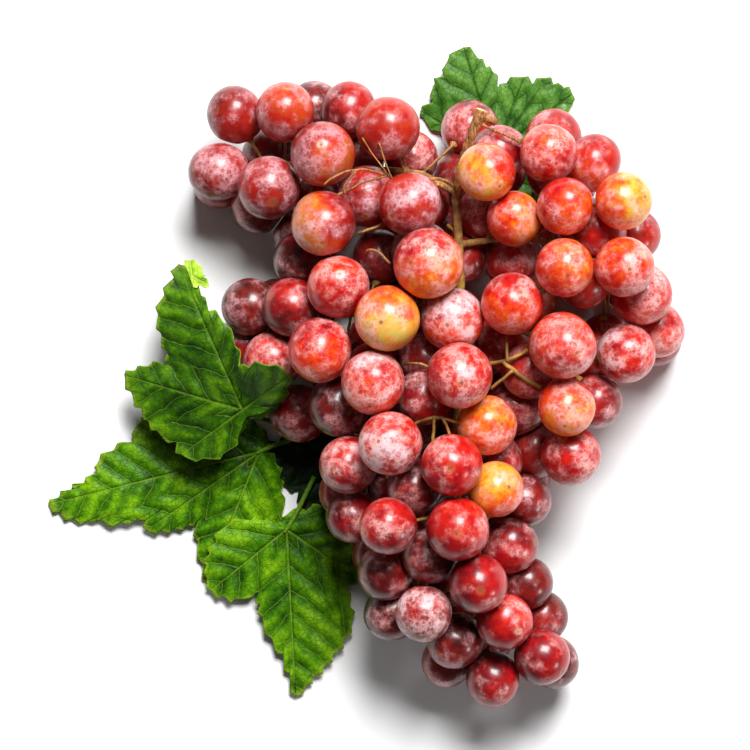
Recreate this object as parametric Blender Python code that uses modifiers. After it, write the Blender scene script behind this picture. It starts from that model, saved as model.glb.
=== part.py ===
"""A bunch of red table grapes lying on its side, with five vine leaves tucked under it.

Metres, +Z up. The bunch lies along Y, its cut stem at +Y and its tail at -Y, and its front looks up.
The origin is under the middle of the whole, on the surface that it lies on.
"""
import heapq
import itertools
import math

import bmesh
import bpy
import numpy as np
from mathutils import Vector
from mathutils.bvhtree import BVHTree

MM = 0.001

# Driving sizes, in metres
BERRY_DIAMETER = 0.024       # a middle-sized berry
BUNCH_WIDTH = 0.172          # between the outermost berry centres, across
BUNCH_LENGTH = 0.225         # between the outermost berry centres, along
BUNCH_HEIGHT = 0.086         # from the surface to the top of the highest berry
STEM_DIAMETER = 0.0042       # the main stem below its cut end
ARM_DIAMETER = 0.0026        # the side arms of the stem
PEDICEL_DIAMETER = 0.0017    # the stalk of one berry
CUT_END_DIAMETER = 0.0056    # the swollen cut end
LEAF_SCALE = 1.0             # the blades' size, against the lobe lengths below
LEAF_THICKNESS = 0.0008
PETIOLE_DIAMETER = 0.0017
GAP = 0.0003                 # between pieces that touch
JOIN_SHARE = 0.1             # how deep joined berries press into each other, against their mean diameter
LEAF_BED = 0.0075            # room under the berries that lie on a leaf
BED_REACH = 0.55             # how far that room reaches, against the blade's longest reach
DRAPE_ROOM = 0.125           # room between a berry and a blade that lies over it, against BERRY_DIAMETER
REST_ROOM = 0.0667           # room between a berry and a blade that it lies on, against BERRY_DIAMETER
FOLD_REACH = 18.0            # degrees from a lobe's tip to the crest of the fold beside it
BLADE_RINGS = 4
BLADE_STEP = 15.0            # widest step between a blade's spokes, in degrees
DRAPE_ROUNDS = 12            # how often a blade that lies over berries is smoothed

BERRY_GROUPS = 12            # joined groups of the berries below the front ones
SEED = 7

# How the hidden berries are packed, against LAYOUT_DIAMETER
FILL_PITCH = 0.99            # between berries of one layer
FILL_LAYERS = 3
FILL_COVER = 0.55            # a berry above has to lie this near in plan
FILL_BELOW = 0.6             # and this much higher
FILL_ROOM = 0.84             # from any other berry's centre
FILL_STEM_ROOM = 0.45        # from the stem and its arms
FILL_SIZES = (0.88, 0.98)
LONGEST_LINK = 1.6           # between the centres of berries that are joined

# How the berries settle
SETTLE_ROUNDS = 1200
SETTLE_PUSH = (0.32, 0.32, 0.45)
ANCHOR_PULL = 0.05           # towards the drawn places, at the start
ANCHOR_ROUNDS = 0.4          # the share of the rounds that the pull fades over
HEIGHT_PULL = 0.4            # the pull on the height, against the pull in plan
ON_BED = 0.75                # how far a berry over a bed's edge still counts, against its radius

# How the stalks find their way between the berries
MARK_PITCH = 0.006           # between the places where a twig can leave the stem
GAP_REACH = 1.9              # farthest neighbour that bounds a gap, against BERRY_DIAMETER
WIDEST_GAP = 0.45            # a wider gap is outside the bunch, against BERRY_DIAMETER
LONGEST_STALK = 3.2          # from a berry's centre, against its radius
SHORTEST_STALK = 0.0012      # beyond a berry's skin
STALK_COST = 1.4             # of a stalk's length against a twig's
TIGHT_COST = 0.3             # how much dearer a twig's way is through a narrow gap

# The berries' places in millimetres, (x, y, height of the centre, size against a middle-sized berry).
# FRONT berries are separate pieces. DEEP ones sit behind them.
FRONT = {
    "wing": [
        (-57, 113, 36, 0.95), (-39, 114, 44, 0.97), (1, 108, 49, 1.05), (-23, 97, 57, 1.08),
        (-43, 84, 43, 1.04), (-64, 92, 33, 0.97), (-7, 82, 48, 1.00), (11, 76, 59, 1.03),
        (-21, 69, 58, 1.06),
    ],
    "front": [
        (17, 52, 73, 1.14), (-17, 45, 63, 1.04), (2, 32, 71, 1.06), (-22, 21, 63, 1.06),
        (-2, 8, 67, 1.04), (4, -15, 66, 1.04), (-13, -24, 53, 0.96), (28, 33, 58, 1.03),
        (30, 11, 76, 1.09), (41, -9, 62, 0.98), (27, -26, 76, 1.02), (44, -32, 56, 0.92),
        (-44, 22, 35, 0.97),
    ],
    "shoulder": [
        (41, 89, 68, 0.95), (65, 97, 63, 0.95), (72, 76, 71, 0.93), (89, 75, 57, 0.93),
        (52, 72, 62, 0.90), (71, 52, 73, 0.95), (93, 52, 64, 0.98), (101, 40, 48, 1.02),
        (51, 38, 70, 1.01), (69, 22, 71, 1.10), (96, 21, 50, 0.97), (70, 0, 60, 0.95),
        (73, -20, 49, 0.98),
    ],
    "tail": [
        (5, -44, 63, 0.93), (29, -49, 71, 1.04), (17, -78, 55, 0.93), (38, -71, 60, 0.98),
        (50, -86, 50, 0.93), (43, -108, 38, 0.90), (60, -96, 38, 0.92),
    ],
}
DEEP = [
    (-26, 117, 25, 0.92), (-12, 113, 36, 0.93), (-48, 76, 18, 0.95), (-44, 100, 20, 0.95),
    (-8, 98, 29, 0.95), (10, 95, 30, 0.92), (-27, 79, 36, 0.90), (-33, 66, 22, 0.90),
    (16, 87, 42, 0.95), (24, 62, 57, 1.00), (-32, 53, 38, 0.97), (-32, 37, 38, 0.98),
    (-50, 38, 29, 0.96), (-56, 20, 14, 0.90), (-35, -6, 23, 0.98), (-17, -2, 48, 1.00),
    (14, 2, 50, 0.92), (49, -23, 44, 0.93), (58, -20, 36, 0.90), (53, -2, 43, 0.95),
    (11, -33, 54, 0.92), (46, 98, 52, 0.92), (82, 94, 49, 0.92), (38, 58, 44, 0.86),
    (54, 56, 42, 0.88), (108, 30, 31, 0.93), (99, 66, 42, 0.90), (76, 38, 52, 0.93),
    (84, -1, 45, 0.90), (85, 18, 34, 0.93), (37, 72, 38, 0.90), (78, 66, 52, 0.92),
    (59, 13, 50, 0.93), (48, 22, 46, 0.95), (-11, -45, 42, 0.87), (0, -64, 46, 0.92),
    (19, -61, 53, 0.92), (49, -52, 54, 0.94), (57, -72, 42, 0.87), (5, -84, 35, 0.93),
    (30, -94, 45, 0.93), (26, -103, 24, 0.88), (68, -107, 26, 0.90), (56, -38, 41, 0.88),
    (64, -85, 27, 0.88), (-4, 58, 44, 0.90),
]

# The stem and its arms: points in the same millimetres, from the cut end and from the stem outwards.
STEM = [
    (39, 114, 64), (35, 104, 62), (31, 92, 56), (29, 80, 52), (30, 66, 51), (31, 48, 50),
    (31, 30, 47), (30, 10, 45), (29, -10, 44), (30, -30, 43), (33, -50, 41), (37, -70, 37),
    (41, -86, 31),
]
STUB = [(38, 111, 63.5), (42, 110.5, 63), (44.5, 109, 62)]
ARMS = {
    "wing": [(29, 82, 52), (16, 90, 44), (2, 92, 38), (-14, 91, 36), (-30, 95, 32), (-46, 94, 30)],
    "left": [(31, 40, 49), (16, 36, 47), (0, 33, 44), (-18, 36, 42), (-32, 28, 34)],
    "shoulder": [(30, 62, 51), (44, 64, 51), (60, 64, 52), (76, 60, 48), (90, 54, 42)],
    "flank": [(31, 36, 48), (46, 32, 51), (60, 26, 50), (74, 14, 44)],
    "lower": [(29, -12, 44), (14, -18, 41), (-2, -22, 38)],
}

# Leaves: the point where the veins meet, the blade's outline around it as (direction in degrees, reach
# in mm), its height above the surface at the middle and at the edge, and the petiole's further points.
LEAVES = {
    "leaf_underneath": {
        "middle": (-12, -20), "over_bunch": False, "rise": 2.6, "edge_rise": 1.4, "fold": 0.3,
        "outline": [(0, 12), (40, 12), (70, 16), (110, 14), (150, 26), (166, 24), (183, 47), (193, 36),
                    (206, 31), (216, 27), (236, 33), (253, 25), (272, 30), (300, 15), (330, 18)],
        "petiole": [(-6, -16, 3.0), (2, -10, 3.2), (10, -6, 3.4)],
    },
    "leaf_lower_left": {
        "middle": (-49, -20), "over_bunch": False, "rise": 8.5, "edge_rise": 2.2, "fold": 1.6,
        "outline": [(0, 4), (45, 6), (90, 10), (120, 18), (150, 34), (165, 47), (179, 53), (186, 65),
                    (196, 88), (203, 75), (208, 63), (216, 55), (231, 40), (245, 55), (257, 47),
                    (270, 36), (289, 28), (304, 19), (325, 10)],
        "petiole": [(-44, -17.5, 7.2), (-36, -15, 5.4), (-28, -13, 5.2)],
    },
    "leaf_bottom": {
        "middle": (-38, -51), "over_bunch": False, "rise": 9.0, "edge_rise": 2.6, "fold": 1.6,
        "outline": [(29, 18), (66, 10), (120, 4), (168, 14), (182, 26), (200, 36), (215, 41), (232, 36),
                    (248, 34), (261, 52), (268, 69), (279, 57), (288, 55), (302, 50), (308, 37),
                    (326, 35), (350, 29)],
        "petiole": [(-34, -45, 8.6), (-31, -38, 6.4), (-27, -30, 5.4)],
    },
    "leaf_upper_left": {
        "middle": (-55, -3), "over_bunch": True, "rise": 20.0, "edge_rise": 13.0, "fold": 1.5,
        "outline": [(5, 15), (25, 22), (44, 25), (80, 15), (97, 27), (105, 41), (112, 64), (122, 53),
                    (134, 47), (150, 37), (163, 52), (178, 40), (207, 29), (228, 26), (240, 17),
                    (256, 20), (285, 5), (330, 6)],
        "petiole": [(-50, -6.5, 12.5), (-42, -8.5, 7.8), (-30, -9.5, 5.6)],
    },
    "leaf_top_right": {
        "middle": (46, 100), "over_bunch": False, "rise": 5.5, "edge_rise": 2.4, "fold": 1.2,
        "outline": [(0, 29), (24, 30), (37, 39), (49, 40), (63, 35), (82, 27), (93, 35), (108, 45),
                    (126, 40), (136, 34), (148, 36), (157, 23), (170, 13), (220, 8), (270, 12),
                    (305, 26), (330, 28)],
        "petiole": [(45, 92, 4.6), (43, 84, 3.6), (41, 76, 3.2)],
    },
}

COLOURS = {
    "wing": (0.30, 0.045, 0.05), "front": (0.52, 0.06, 0.06), "shoulder": (0.62, 0.13, 0.05),
    "tail": (0.33, 0.02, 0.03), "deep": (0.24, 0.03, 0.04), "stem": (0.33, 0.20, 0.06),
    "leaf": (0.06, 0.19, 0.02),
}
LAYOUT_DIAMETER = 24.0       # the berry size that the layout above was drawn for, in its millimetres


def make_material(name, colour, roughness):
    """Return a Principled material of one colour."""
    material = bpy.data.materials.new(name)
    material.use_nodes = True
    shader = material.node_tree.nodes["Principled BSDF"]
    shader.inputs["Base Color"].default_value = (*colour, 1.0)
    shader.inputs["Roughness"].default_value = roughness
    shader.inputs["Metallic"].default_value = 0.0
    return material


def add_object(name, mesh, collection, colour, roughness):
    """Add a mesh to a collection as an object with its own material."""
    mesh.materials.clear()
    mesh.materials.append(make_material(name + "_skin", colour, roughness))
    obj = bpy.data.objects.new(name, mesh)
    collection.objects.link(obj)
    return obj


# ---- layout -------------------------------------------------------------------------------------

def segment_distance(points, start, end):
    """Distance from each point to a segment, and the closest place on it."""
    along = end - start
    share = np.clip((points - start) @ along / max(along @ along, 1e-12), 0.0, 1.0)
    nearest = start + share[:, None] * along
    return np.linalg.norm(points - nearest, axis=1), nearest


def layout_lines():
    """The stem and the arms as lines of points in layout millimetres."""
    return [np.array(STEM, float)] + [np.array(line, float) for line in ARMS.values()]


def fill_berries(places):
    """Places of the berries that fill the bunch below and behind the given ones, in layout millimetres."""
    pitch = LAYOUT_DIAMETER * FILL_PITCH
    row = pitch * math.sqrt(3.0) / 2.0
    layer = pitch * math.sqrt(2.0 / 3.0)
    low, high = places.min(axis=0), places.max(axis=0)
    lines = layout_lines()
    chosen = [tuple(place) for place in places]
    added = []
    for level in range(FILL_LAYERS):
        height = LAYOUT_DIAMETER / 2.0 + level * layer
        shift = level * pitch / 2.0
        rows = int((high[1] - low[1]) / row) + 2
        columns = int((high[0] - low[0]) / pitch) + 2
        for j, i in itertools.product(range(rows), range(columns)):
            spot = np.array([low[0] + i * pitch + (j % 2) * pitch / 2.0 + shift - pitch,
                             low[1] + j * row + level * row / 3.0 - row / 2.0, height])
            plan = np.linalg.norm(places[:, :2] - spot[:2], axis=1)
            above = places[:, 2] > height + LAYOUT_DIAMETER * FILL_BELOW
            if not np.any(above & (plan < LAYOUT_DIAMETER * FILL_COVER)):
                continue
            if min(np.linalg.norm(np.array(other) - spot) for other in chosen) < LAYOUT_DIAMETER * FILL_ROOM:
                continue
            clear = min(segment_distance(spot[None], a, b)[0][0] for line in lines
                        for a, b in zip(line[:-1], line[1:]))
            if clear < LAYOUT_DIAMETER * FILL_STEM_ROOM:
                continue
            chosen.append(tuple(spot))
            added.append(tuple(spot))
    return added


def spanning_edges(places):
    """The shortest set of links that joins all the places into one tree."""
    count = len(places)
    distance = np.linalg.norm(places[:, None] - places[None], axis=2)
    joined, edges = {0}, []
    while len(joined) < count:
        inside = sorted(joined)
        outside = [i for i in range(count) if i not in joined]
        block = distance[np.ix_(inside, outside)]
        a, b = np.unravel_index(np.argmin(block), block.shape)
        edges.append((inside[a], outside[b]))
        joined.add(outside[b])
    return edges


def components(count, edges):
    """Group the numbers 0 to count - 1 by the edges that link them."""
    label = list(range(count))
    for _ in range(count):
        changed = False
        for a, b in edges:
            low = min(label[a], label[b])
            if label[a] != low or label[b] != low:
                label[a] = label[b] = low
                changed = True
        if not changed:
            break
    groups = {}
    for index, value in enumerate(label):
        groups.setdefault(value, []).append(index)
    return list(groups.values())


def split_into_groups(places, wanted):
    """Cut the spanning tree into a number of linked groups of nearly equal size."""
    edges = spanning_edges(places)
    kept = [e for e in edges if np.linalg.norm(places[e[0]] - places[e[1]]) < LAYOUT_DIAMETER * LONGEST_LINK]
    while len(components(len(places), kept)) < wanted:
        largest = set(max(components(len(places), kept), key=len))
        best, best_size = None, 0
        for edge in kept:
            if edge[0] not in largest:
                continue
            rest = [e for e in kept if e != edge]
            part = next(c for c in components(len(places), rest) if edge[0] in c)
            size = min(len(part), len(largest) - len(part))
            if size > best_size:
                best, best_size = edge, size
        kept.remove(best)
    return components(len(places), kept), kept


def relax(places, radii, anchors, links, lines, line_radii, beds):
    """Move the berries until none overlaps another, the stem, its arms or the surface.

    Linked berries are drawn together until they press into each other.
    """
    count = len(places)
    first, second = np.triu_indices(count, 1)
    linked = {tuple(sorted(edge)) for edge in links}
    is_link = np.array([(a, b) in linked for a, b in zip(first, second)])
    touching = radii[first] + radii[second]
    wanted = np.where(is_link, touching * (1.0 - JOIN_SHARE), touching + GAP)
    floor = radii.copy()
    for (x, y, reach), rise in beds:
        on_bed = np.linalg.norm(places[:, :2] - np.array([x, y]), axis=1) < reach + radii * ON_BED
        floor[on_bed] = np.maximum(floor[on_bed], radii[on_bed] + rise)
    for step in range(SETTLE_ROUNDS):
        delta = places[second] - places[first]
        distance = np.linalg.norm(delta, axis=1)
        error = wanted - distance
        active = (error > 0) | is_link
        push = np.where(active, error, 0.0)[:, None] * delta / distance[:, None]
        push *= np.array(SETTLE_PUSH)
        np.add.at(places, second, push)
        np.add.at(places, first, -push)
        for line, line_radius in zip(lines, line_radii):
            for start, end in zip(line[:-1], line[1:]):
                distance, nearest = segment_distance(places, start, end)
                short = np.maximum(radii + line_radius + GAP * 2.0 - distance, 0.0)
                places += (places - nearest) / distance[:, None] * short[:, None]
        pull = max(0.0, ANCHOR_PULL * (1.0 - step / (SETTLE_ROUNDS * ANCHOR_ROUNDS)))
        places += (anchors - places) * np.array([pull, pull, pull * HEIGHT_PULL])
        places[:, 2] = np.maximum(places[:, 2], floor)
    return places


# ---- stem ---------------------------------------------------------------------------------------

def clearance(points, centres, radii):
    """Room between each point and the nearest berry's surface."""
    distance = np.linalg.norm(points[:, None] - centres[None], axis=2) - radii[None]
    return distance.min(axis=1)


def segment_clearance(start, end, centres, radii, skip=None):
    """Room between a straight run and the nearest berry, one berry left out if asked."""
    along = end - start
    share = np.clip((centres - start) @ along / max(along @ along, 1e-12), 0.0, 1.0)
    room = np.linalg.norm(start + share[:, None] * along - centres, axis=1) - radii
    if skip is not None:
        room[skip] = math.inf
    return room.min()


def gap_centres(centres, radii, reach):
    """Centres of the gaps between four neighbouring berries each, with those berries' numbers."""
    weight = (centres ** 2).sum(axis=1) - radii ** 2
    found = {}
    for i in range(len(centres)):
        near = [j for j in range(i + 1, len(centres)) if np.linalg.norm(centres[j] - centres[i]) < reach]
        triples = np.array(list(itertools.combinations(near, 3)))
        if len(triples) == 0:
            continue
        matrix = 2.0 * (centres[triples] - centres[i])
        good = np.abs(np.linalg.det(matrix)) > 1e-9
        triples, matrix = triples[good], matrix[good]
        right = weight[triples] - weight[i]
        spots = np.linalg.solve(matrix, right[..., None])[..., 0]
        power = (spots ** 2).sum(axis=1)[:, None] - 2.0 * spots @ centres.T + weight[None]
        own = power[:, i]
        open_gap = (power.min(axis=1) > own - 1e-9) & (own < (reach * 0.62) ** 2)
        for triple, spot in zip(triples[open_gap], spots[open_gap]):
            found[(i, *triple)] = spot
    return found


def grow_stem(centres, radii, lines):
    """Find each berry's way through the gaps between the berries to the stem.

    Returns the places, the parent of each place, and the place that each berry hangs from.
    """
    places, parent_links = [], {}
    neighbours = []
    limit = PEDICEL_DIAMETER / 2.0 + GAP

    def add(place):
        places.append(np.array(place))
        neighbours.append([])
        return len(places) - 1

    def link(a, b):
        length = np.linalg.norm(places[a] - places[b])
        room = segment_clearance(places[a], places[b], centres, radii)
        if room > limit:
            cost = length * (1.0 + TIGHT_COST * BERRY_DIAMETER / (room + 0.2 * BERRY_DIAMETER))
            neighbours[a].append((b, cost))
            neighbours[b].append((a, cost))

    line_places = []
    for line in lines:
        marks = []
        for start, end in zip(line[:-1], line[1:]):
            steps = max(2, int(np.linalg.norm(end - start) / MARK_PITCH))
            marks += [start + (end - start) * k / steps for k in range(steps)]
        marks.append(line[-1])
        line_places.append([add(mark) for mark in marks])
    stem_ids = [i for ids in line_places for i in ids]
    gaps = gap_centres(centres, radii, BERRY_DIAMETER * GAP_REACH)
    by_face = {}
    gap_ids = {}
    for key, spot in gaps.items():
        if not limit < clearance(spot[None], centres, radii)[0] < BERRY_DIAMETER * WIDEST_GAP:
            continue
        gap_ids[key] = add(spot)
        for face in itertools.combinations(key, 3):
            by_face.setdefault(face, []).append(gap_ids[key])
    for pair in by_face.values():
        if len(pair) == 2:
            link(*pair)
    for key, index in gap_ids.items():
        distance = [(np.linalg.norm(places[index] - places[s]), s) for s in stem_ids]
        for _, s in sorted(distance)[:4]:
            link(index, s)
    cost = {i: 0.0 for i in stem_ids}
    queue = [(0.0, i, -1) for i in stem_ids]
    heapq.heapify(queue)
    parent = {}
    while queue:
        value, index, source = heapq.heappop(queue)
        if index in parent:
            continue
        parent[index] = source
        for other, step in neighbours[index]:
            if other not in parent and value + step < cost.get(other, math.inf):
                cost[other] = value + step
                heapq.heappush(queue, (value + step, other, index))
    holders = []
    for berry, (centre, radius) in enumerate(zip(centres, radii)):
        best, best_cost = None, math.inf
        for index in parent:
            run = np.linalg.norm(places[index] - centre)
            if not radius + SHORTEST_STALK <= run <= radius * LONGEST_STALK:
                continue
            total = cost[index] + STALK_COST * run
            if total >= best_cost:
                continue
            end = centre + (places[index] - centre) * (radius + GAP) / run
            if segment_clearance(places[index], end, centres, radii, skip=berry) > limit:
                best, best_cost = index, total
        holders.append(best)
    return places, parent, holders, line_places


def tube(name, points, widths, collection, resolution=1):
    """A closed tube along the points, as a welded mesh object."""
    curve = bpy.data.curves.new(name, "CURVE")
    curve.dimensions = "3D"
    curve.bevel_depth = 1.0
    curve.bevel_resolution = resolution
    curve.use_fill_caps = True
    spline = curve.splines.new("POLY")
    spline.points.add(len(points) - 1)
    for point, place, width in zip(spline.points, points, widths):
        point.co = (*place, 1.0)
        point.radius = width / 2.0
    guide = bpy.data.objects.new(name, curve)
    collection.objects.link(guide)
    depsgraph = bpy.context.evaluated_depsgraph_get()
    mesh = bpy.data.meshes.new_from_object(guide.evaluated_get(depsgraph))
    bpy.data.objects.remove(guide)
    bpy.data.curves.remove(curve)
    weld(mesh)
    obj = bpy.data.objects.new(name, mesh)
    collection.objects.link(obj)
    return obj


def weld(mesh):
    """Weld a mesh's loose caps and point its faces out."""
    work = bmesh.new()
    work.from_mesh(mesh)
    bmesh.ops.remove_doubles(work, verts=work.verts, dist=0.00001)
    bmesh.ops.recalc_face_normals(work, faces=work.faces)
    work.to_mesh(mesh)
    work.free()


def unite(name, pieces, collection):
    """Join overlapping closed pieces into one solid mesh, and remove the pieces."""
    mesh = pieces[0].data.copy()
    result = bpy.data.objects.new(name, mesh)
    collection.objects.link(result)
    others = bpy.data.collections.new(name + "_pieces")
    collection.children.link(others)
    for piece in pieces[1:]:
        others.objects.link(piece)
    if len(pieces) > 1:
        join = result.modifiers.new("join", "BOOLEAN")
        join.operation = "UNION"
        join.operand_type = "COLLECTION"
        join.collection = others
        join.solver = "EXACT"
        join.use_self = True
    depsgraph = bpy.context.evaluated_depsgraph_get()
    joined = bpy.data.meshes.new_from_object(result.evaluated_get(depsgraph))
    bpy.data.objects.remove(result)
    bpy.data.collections.remove(others)
    for piece in pieces:
        bpy.data.objects.remove(piece)
    return joined


def stem_pieces(centres, radii, lines, stub, guides):
    """Tubes for the stem, its arms, the twigs and every berry's own stalk."""
    places, parent, holders, line_places = grow_stem(centres, radii, lines)
    load = {}
    stalks = []
    for berry, holder in enumerate(holders):
        if holder is None:
            continue
        stalks.append((berry, holder))
        index = holder
        while index != -1 and parent[index] != -1:
            load[index] = load.get(index, 0) + 1
            index = parent[index]
    pieces = []
    widths = [STEM_DIAMETER * (1.0 - 0.45 * k / (len(lines[0]) - 1)) for k in range(len(lines[0]))]
    widths[0] = CUT_END_DIAMETER
    pieces.append(tube("stem", lines[0], widths, guides, 2))
    for line in lines[1:]:
        taper = [ARM_DIAMETER * (1.15 - 0.35 * k / (len(line) - 1)) for k in range(len(line))]
        pieces.append(tube("arm", line, taper, guides, 1))
    pieces.append(tube("stub", stub, [STEM_DIAMETER * 0.8] * len(stub), guides, 1))
    children = {}
    for index in load:
        children.setdefault(parent[index], []).append(index)
    for index, branches in children.items():
        branches.sort(key=lambda branch: -load[branch])

    def width_of(index):
        room = clearance(places[index][None], centres, radii)[0] - GAP
        return min(PEDICEL_DIAMETER * (1.0 + 0.12 * (load.get(index, 1) - 1)), ARM_DIAMETER, room * 2.0)

    hanging = {}
    for berry, holder in stalks:
        hanging.setdefault(holder, []).append(berry)
    on_line = {i for ids in line_places for i in ids}
    starts = [(s, c) for s in sorted(on_line) for c in children.get(s, [])]
    starts += [(index, None) for index in sorted(on_line) if index in hanging]
    while starts:
        origin, branch = starts.pop()
        if branch is None:
            for berry in hanging[origin]:
                pieces.append(stalk(places[origin], centres[berry], radii[berry], guides))
            continue
        chain = [origin, branch]
        while children.get(chain[-1]):
            chain.append(children[chain[-1]][0])
        for index in chain[1:]:
            starts += [(index, other) for other in children.get(index, [])[1:]]
        run = [places[i] for i in chain]
        narrow = min(width_of(i) for i in chain[1:])
        taper = [max(narrow, PEDICEL_DIAMETER * 0.96) for i in chain]
        for index in chain[1:-1]:
            for berry in hanging.get(index, []):
                pieces.append(stalk(places[index], centres[berry], radii[berry], guides))
        last = hanging[chain[-1]]
        end = centres[last[0]] + unit(run[-1] - centres[last[0]]) * (radii[last[0]] + GAP)
        pieces.append(tube("twig", run + [end], taper + [taper[-1]], guides, 1))
        for berry in last[1:]:
            pieces.append(stalk(run[-1], centres[berry], radii[berry], guides))
    return pieces, len(stalks)


def unit(vector):
    """The vector at length one."""
    return vector / np.linalg.norm(vector)


def stalk(start, centre, radius, guides):
    """One berry's own stalk, from a twig to just short of its skin."""
    end = centre + unit(start - centre) * (radius + GAP)
    return tube("stalk", [start, end], [PEDICEL_DIAMETER * 0.92] * 2, guides, 0)


# ---- leaves -------------------------------------------------------------------------------------

def blade_reach(angle, outline):
    """How far the blade reaches in one direction, between outline points joined by straight edges."""
    for (before, low), (after, high) in zip(outline, outline[1:] + outline[:1]):
        span = math.radians((after - before) % 360.0)
        offset = math.radians((angle - before) % 360.0)
        if offset <= span:
            return low * high * math.sin(span) / (low * math.sin(offset) + high * math.sin(span - offset))
    raise ValueError("the outline leaves out %.1f degrees" % angle)


def blade_angles(outline, widest):
    """The directions of the outline's points, with more between those that are far apart."""
    angles = []
    for (before, _), (after, _) in zip(outline, outline[1:] + outline[:1]):
        span = (after - before) % 360.0
        steps = math.ceil(span / widest)
        angles += [(before + span * k / steps) % 360.0 for k in range(steps)]
    return angles


def highest_under(tree, spot):
    """The height of a surface around one spot, or None where there is none near it."""
    heights = []
    for reach, turn in itertools.product((0.0, 3.5 * MM, 7.0 * MM), range(8)):
        radians = turn * math.pi / 4.0
        start = Vector((spot[0] + reach * math.cos(radians), spot[1] + reach * math.sin(radians), 1.0))
        hit = tree.ray_cast(start, Vector((0.0, 0.0, -1.0)))[0]
        if hit is not None:
            heights.append(hit.z)
    return max(heights, default=None)


def placed_leaf(spec, stretch):
    """A leaf's values in metres, its plan moved with the bunch and its blade at its own scale."""
    placed = dict(spec)
    placed["middle"] = np.array(spec["middle"]) * stretch[:2]
    placed["petiole"] = [np.array(point) * np.array([*stretch[:2], MM]) for point in spec["petiole"]]
    placed["outline"] = [(direction, reach * LEAF_SCALE * MM) for direction, reach in spec["outline"]]
    for height in ("rise", "edge_rise", "fold"):
        placed[height] = spec[height] * MM
    return placed


def leaf_mesh(spec, centres, radii, below):
    """The blade as an open surface, kept clear of the berries and of the leaves below it."""
    middle, outline = spec["middle"], spec["outline"]
    ring_of = outline[-1:] + outline + outline[:1]
    tips = [point[0] for before, point, after in zip(ring_of, outline, ring_of[2:])
            if point[1] > before[1] and point[1] > after[1]]
    angles = blade_angles(outline, BLADE_STEP)
    work = bmesh.new()
    plan = [middle]
    share = [0.0]
    side = [0.0]
    for ring in range(1, BLADE_RINGS + 1):
        for angle in angles:
            reach = blade_reach(angle, outline) * ring / BLADE_RINGS
            radians = math.radians(angle)
            plan.append(middle + reach * np.array([math.cos(radians), math.sin(radians)]))
            share.append(ring / BLADE_RINGS)
            side.append(min(abs((angle - tip + 180.0) % 360.0 - 180.0) for tip in tips))
    plan = np.array(plan)
    share, side = np.array(share), np.array(side)
    heights = spec["rise"] + (spec["edge_rise"] - spec["rise"]) * share ** 1.4
    heights += spec["fold"] * np.minimum(side / FOLD_REACH, 1.0) * share
    lowest = np.full(len(plan), LEAF_THICKNESS)
    for tree in below:
        for index, spot in enumerate(plan):
            found = highest_under(tree, spot)
            if found is not None:
                lowest[index] = max(lowest[index], found + LEAF_THICKNESS + GAP * 3.0)
    highest = np.full(len(plan), math.inf)
    for centre, radius in zip(centres, radii):
        reach = np.linalg.norm(plan - centre[:2], axis=1)
        wide = radius + (DRAPE_ROOM if spec["over_bunch"] else REST_ROOM) * BERRY_DIAMETER
        over = reach < wide
        cap = np.sqrt(np.maximum(wide ** 2 - reach[over] ** 2, 0.0))
        if spec["over_bunch"]:
            lowest[over] = np.maximum(lowest[over], centre[2] + cap + LEAF_THICKNESS)
        else:
            highest[over] = np.minimum(highest[over], centre[2] - cap)
    heights = np.maximum(heights, lowest)
    if spec["over_bunch"]:
        distance = np.linalg.norm(plan[:, None] - plan[None], axis=2)
        near = distance < BERRY_DIAMETER / 2.0
        for _ in range(DRAPE_ROUNDS):
            heights = np.maximum(lowest, (near * heights[None]).sum(axis=1) / near.sum(axis=1))
    heights = np.minimum(heights, highest)
    top = [work.verts.new((x, y, z)) for (x, y), z in zip(plan, heights)]
    count = len(angles)
    for k in range(count):
        following = (k + 1) % count
        work.faces.new((top[0], top[1 + k], top[1 + following]))
        for ring in range(BLADE_RINGS - 1):
            a, b = 1 + ring * count, 1 + (ring + 1) * count
            work.faces.new((top[a + k], top[b + k], top[b + following], top[a + following]))
    bmesh.ops.recalc_face_normals(work, faces=work.faces)
    if sum(face.normal.z for face in work.faces) < 0.0:
        bmesh.ops.reverse_faces(work, faces=work.faces)
    mesh = bpy.data.meshes.new("blade")
    work.to_mesh(mesh)
    tree = BVHTree.FromBMesh(work)
    work.free()
    return mesh, tree, np.array([*plan[0], heights[0]])


def build_leaf(name, spec, centres, radii, below, parts, guides):
    """One leaf: its blade made thick, joined to its petiole. Returns the blade's upper surface."""
    mesh, tree, middle = leaf_mesh(spec, centres, radii, below)
    blade = bpy.data.objects.new(name + "_blade", mesh)
    guides.objects.link(blade)
    thicken = blade.modifiers.new("thickness", "SOLIDIFY")
    thicken.thickness = LEAF_THICKNESS
    thicken.offset = -1.0
    depsgraph = bpy.context.evaluated_depsgraph_get()
    solid = bpy.data.meshes.new_from_object(blade.evaluated_get(depsgraph))
    bpy.data.objects.remove(blade)
    shell = bpy.data.objects.new(name + "_shell", solid)
    guides.objects.link(shell)
    start = middle - np.array([0.0, 0.0, LEAF_THICKNESS * 0.5])
    away = (start - spec["petiole"][0]) * np.array([1.0, 1.0, 0.0])
    run = [start + unit(away) * PETIOLE_DIAMETER, start] + spec["petiole"]
    petiole = tube(name + "_petiole", run, [PETIOLE_DIAMETER] * len(run), guides, 1)
    joined = unite(name + "_solid", [shell, petiole], guides)
    add_object(name, joined, parts, COLOURS["leaf"], 0.45)
    return tree


# ---- berries ------------------------------------------------------------------------------------

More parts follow.
